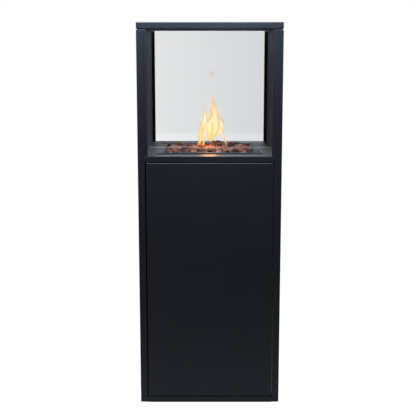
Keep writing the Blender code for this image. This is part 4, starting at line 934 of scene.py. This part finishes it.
def sweptSurface(path, radius, columns):
    # rings of the given radius square to a path, turned by cross products with the Y axis; ends drawn in
    path = np.concatenate([path[:1], path, path[-1:]])
    radius = np.concatenate([[0], radius, [0]])[:, None, None]
    step = np.gradient(path, axis=0)
    step[0], step[-1] = step[1], step[-2]
    step /= np.linalg.norm(step, axis=1, keepdims=True)
    aside = np.cross(step, (0, 1, 0))
    aside /= np.linalg.norm(aside, axis=1, keepdims=True)
    across = np.cross(aside, step)
    turn = np.linspace(0, 2 * math.pi, columns, endpoint=False)[None, :, None]
    return path[:, None] + radius * (np.cos(turn) * across[:, None] + np.sin(turn) * aside[:, None])


def ease(value, low, high):
    share = np.clip((value - low) / (high - low), 0, 1)
    return share * share * (3 - 2 * share)


bottleShape = {
    "centre": (0, 0.020, 0.0086),
    "radius": 0.153,
    "belly": (0.0599, 0.0551),  # height of the lower dome's rim, and its depth
    "shoulder": (0.4012, 0.0628),  # the same of the upper dome
    "foot": (0.110, 0.107),
    "neck": (0.025, 0.470),
    "seam": (0.0014, 0.0042),  # how proud the weld stands, and its half width
}


def makeBottle(look):
    # quarter ellipses below and above a cylinder; the weld is a bell curve round its middle
    radius = look["radius"]
    belly, bellyDepth = look["belly"]
    shoulder, shoulderDepth = look["shoulder"]
    outer, inner = look["foot"]
    neck, top = look["neck"]
    proud, width = look["seam"]

    def under(reach):
        return belly - bellyDepth * np.sqrt(np.clip(1 - (reach / radius) ** 2, 0, 1))

    centrePart = np.linspace(0, inner, 14)
    lift = np.linspace(math.acos(outer / radius), 0, 14)
    fall = np.linspace(0, math.acos(neck / radius), 30)[1:]
    middle = (belly + shoulder) / 2
    wall = np.linspace(belly, shoulder, 60)[1:-1]
    profile = np.concatenate([
        np.stack([centrePart, under(centrePart)], -1),
        [(inner, 0.0), (outer, 0.0)],
        np.stack([radius * np.cos(lift), belly - bellyDepth * np.sin(lift)], -1),
        np.stack([radius + proud * np.exp(-((wall - middle) / width) ** 2), wall], -1),
        np.stack([radius * np.cos(fall), shoulder + shoulderDepth * np.sin(fall)], -1),
        [(neck, top - 0.001), (neck - 0.001, top), (0, top)]])
    surface = turnedSurface(profile, look["centre"], "up", 96)
    piece = makeClosed("bottle_shell", [surface], finishes["bottle_paint"], "cabinet")
    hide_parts("gas_bottle")


makeBottle(bottleShape)

knobShape = {
    "centre": (0, -0.2052, 0.850),
    "corners": ((0, 0.0120), (0.0050, 0.0120), (0.0050, 0.0), (0.0230, 0.0), (0.0230, 0.0042),
                (0.0200, 0.0062), (0.0184, 0.0205), (0.0160, 0.0220), (0, 0.0212)),
    "flutes": (20, 0.05),
    "bar": ((0, 0.0180), (1.0, 0.0180), (1.0, 0.0225), (0.92, 0.0250), (0, 0.0250)),
    "barSize": (0.0042, 0.0165),
    "mark": ((0, 0.0240), (1.0, 0.0240), (1.0, 0.02504), (0, 0.02504)),
    "markSize": (0.0015, 0.0062),
    "markRise": 0.0095,
}


def oblong(halfWidth, halfLength):
    # radius of a squared-off oval: ((cos / a)^4 + (sin / b)^4)^(-1/4)
    return lambda radius, height, turn: (
        (np.abs(np.cos(turn)) / halfWidth) ** 4 + (np.abs(np.sin(turn)) / halfLength) ** 4) ** -0.25


def makeKnob(look):
    count, depth = look["flutes"]

    def flutes(radius, height, turn):
        grip = ease(height, 0.0060, 0.0085) * (1 - ease(height, 0.0190, 0.0210)) * (radius > 0.012)
        return 1 - depth * grip * (0.5 + 0.5 * np.cos(count * turn)) ** 2

    profile = roundedProfile(look["corners"], 0.0009, 70)
    body = turnedSurface(profile, look["centre"], "front", 160, flutes)
    profile = roundedProfile(look["bar"], 0.0006, 24)
    bar = turnedSurface(profile, look["centre"], "front", 64, oblong(*look["barSize"]))
    knob = makeClosed("knob_turned", [body, bar], finishes["black_plastic"], "control_knob")
    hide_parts("control_knob")
    x, y, z = look["centre"]
    profile = np.array(look["mark"])
    line = turnedSurface(profile, (x, y, z + look["markRise"]), "front", 24, oblong(*look["markSize"]))
    mark = makeClosed("knob_mark", [line], finishes["white_ceramic"], "control_knob")


makeKnob(knobShape)

wheelShape = {
    "centre": (0, 0.020, 0.5409),
    "corners": ((0, 0.0135), (0.0075, 0.0135), (0.0075, 0.0), (0.0228, 0.0), (0.0258, 0.0040),
                (0.0258, 0.0125), (0.0222, 0.0180), (0.0120, 0.0160), (0, 0.0160)),
    "lobes": (6, 0.075),
}


def makeHandwheel(look):
    count, depth = look["lobes"]

    def lobes(radius, height, turn):
        return 1 - depth * ease(radius, 0.010, 0.020) * (0.5 + 0.5 * np.cos(count * turn)) ** 1.6

    profile = roundedProfile(look["corners"], 0.0025, 60)
    surface = turnedSurface(profile, look["centre"], "up", 120, lobes)
    piece = makeClosed("wheel_lobed", [surface], finishes["black_plastic"], "handwheel")
    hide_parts("handwheel")


makeHandwheel(wheelShape)

hoseShape = {
    "route": ((0.0573, -0.064, 0.5106), (0.0753, -0.064, 0.5106), (0.112, -0.086, 0.530),
              (0.146, -0.108, 0.575), (0.140, -0.138, 0.640), (0.092, -0.160, 0.690),
              (0.034, -0.172, 0.712), (0, -0.1752, 0.7422), (0, -0.1752, 0.7642)),
    "radius": 0.007,
    "steps": 9,
    "ferrule": (0.0172, 0.0083),  # length and radius
    "crimps": (0.0009, 0.06, 0.3, 0.7),  # depth, half width, and where they lie along the ferrule
}


def hoseRoute(look):
    # a cubic through four neighbouring points at a time, with straight ends
    points = np.array(look["route"])
    a, b, c, d = (points[k:len(points) - 3 + k][:, None] for k in range(4))
    t = np.linspace(0, 1, look["steps"], endpoint=False)[None, :, None]
    square, cube = 2 * a - 5 * b + 4 * c - d, 3 * b - a - 3 * c + d
    bends = (2 * b + (c - a) * t + square * t ** 2 + cube * t ** 3) / 2
    start = points[0] + (points[1] - points[0]) * np.linspace(0, 1, 6)[:-1, None]
    end = points[-2] + (points[-1] - points[-2]) * np.linspace(0, 1, 6)[:, None]
    return np.concatenate([start, bends.reshape(-1, 3), end])


def makeHose(look):
    route = hoseRoute(look)
    surface = sweptSurface(route, np.full(len(route), look["radius"]), 28)
    tube = makeClosed("hose_tube", [surface], finishes["hose_rubber"], "cabinet")
    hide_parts("gas_hose")
    length, radius = look["ferrule"]
    share = np.linspace(0, 1, 40)
    pinch, width, *places = look["crimps"]
    crimps = radius - pinch * np.maximum(*(np.exp(-((share - place) / width) ** 2) for place in places))
    surfaces = []
    for end, way in ((route[0], route[1] - route[0]), (route[-1], route[-2] - route[-1])):
        way = way / np.linalg.norm(way)
        surfaces.append(sweptSurface(end + share[:, None] * length * way, crimps, 32))
    ferrules = makeClosed("hose_ferrules", surfaces, finishes["brass_fitting"], "cabinet")


makeHose(hoseShape)

regulatorShape = {
    "centre": (0, -0.064, 0.5106),
    "corners": ((0, -0.0130), (0.0235, -0.0130), (0.0300, -0.0055), (0.0330, -0.0045), (0.0330, 0.0045),
                (0.0290, 0.0052), (0.0250, 0.0120), (0.0120, 0.0150), (0.0115, 0.0168), (0, 0.0168)),
    "ribs": (16, 0.035),
    "inlet": ((0, -0.0643, 0.5106), (0, -0.0146, 0.5106), 0.0102),
    "tail": ((0, -0.064, 0.5106), (0.0570, -0.064, 0.5106), 0.0070),
}


def makeRegulator(look):
    count, depth = look["ribs"]

    def ribs(radius, height, turn):
        band = ease(height, 0.0055, 0.0080) * (1 - ease(height, 0.0115, 0.0140))
        return 1 - depth * band * (0.5 + 0.5 * np.cos(count * turn)) ** 3

    profile = roundedProfile(look["corners"], 0.0012, 60)
    body = turnedSurface(profile, look["centre"], "up", 160, ribs)
    share = np.linspace(0, 1, 24)[:, None]
    start, end, radius = look["tail"]
    barbs = radius * (1 - 0.06 * (0.5 + 0.5 * np.cos(12 * math.pi * share[:, 0])) ** 2)
    tail = sweptSurface(np.array(start) + share * (np.array(end) - start), barbs, 24)
    start, end, radius = look["inlet"]
    across = [(0, 0), (radius, 0), (radius, end[1] - start[1]), (0, end[1] - start[1])]
    inlet = turnedSurface(roundedProfile(across, 0.0008, 16), start, "back", 32)
    piece = makeClosed("regulator_cast", [body, tail, inlet], finishes["regulator_body"], "cabinet")
    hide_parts("regulator")


makeRegulator(regulatorShape)

screwShape = {
    "corners": ((0, -0.0096), (0.0019, -0.0096), (0.0019, 0.0), (0.0045, 0.0), (0.0044, 0.0008),
                (0.0030, 0.0017), (0, 0.0019)),
    "face": 0.2553,
    "cross": (0.00045, 0.0024, 0.0011),  # half width, reach and depth
}


def makeScrews(look):
    halfWidth, reach, depth = look["cross"]

    def cross(radius, height, turn):
        arm = np.minimum(np.abs(radius * np.cos(turn)), np.abs(radius * np.sin(turn)))
        slot = 1 - ease(arm, halfWidth * 0.7, halfWidth * 1.3)
        return depth * slot * (1 - ease(radius, reach * 0.8, reach)) * (height > 0.001)

    profile = roundedProfile(look["corners"], 0.0003, 70)
    for side in ("left", "right"):
        low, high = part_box("rear_screw_" + side)
        centre = ((low[0] + high[0]) / 2, look["face"], (low[2] + high[2]) / 2)
        surface = turnedSurface(profile, centre, "back", 64, sink=cross)
        screw = makeClosed("screw_head_" + side, [surface], finishes["zinc_steel"], "cabinet")
        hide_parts("rear_screw_" + side)


makeScrews(screwShape)
print("turned and swept pieces made")
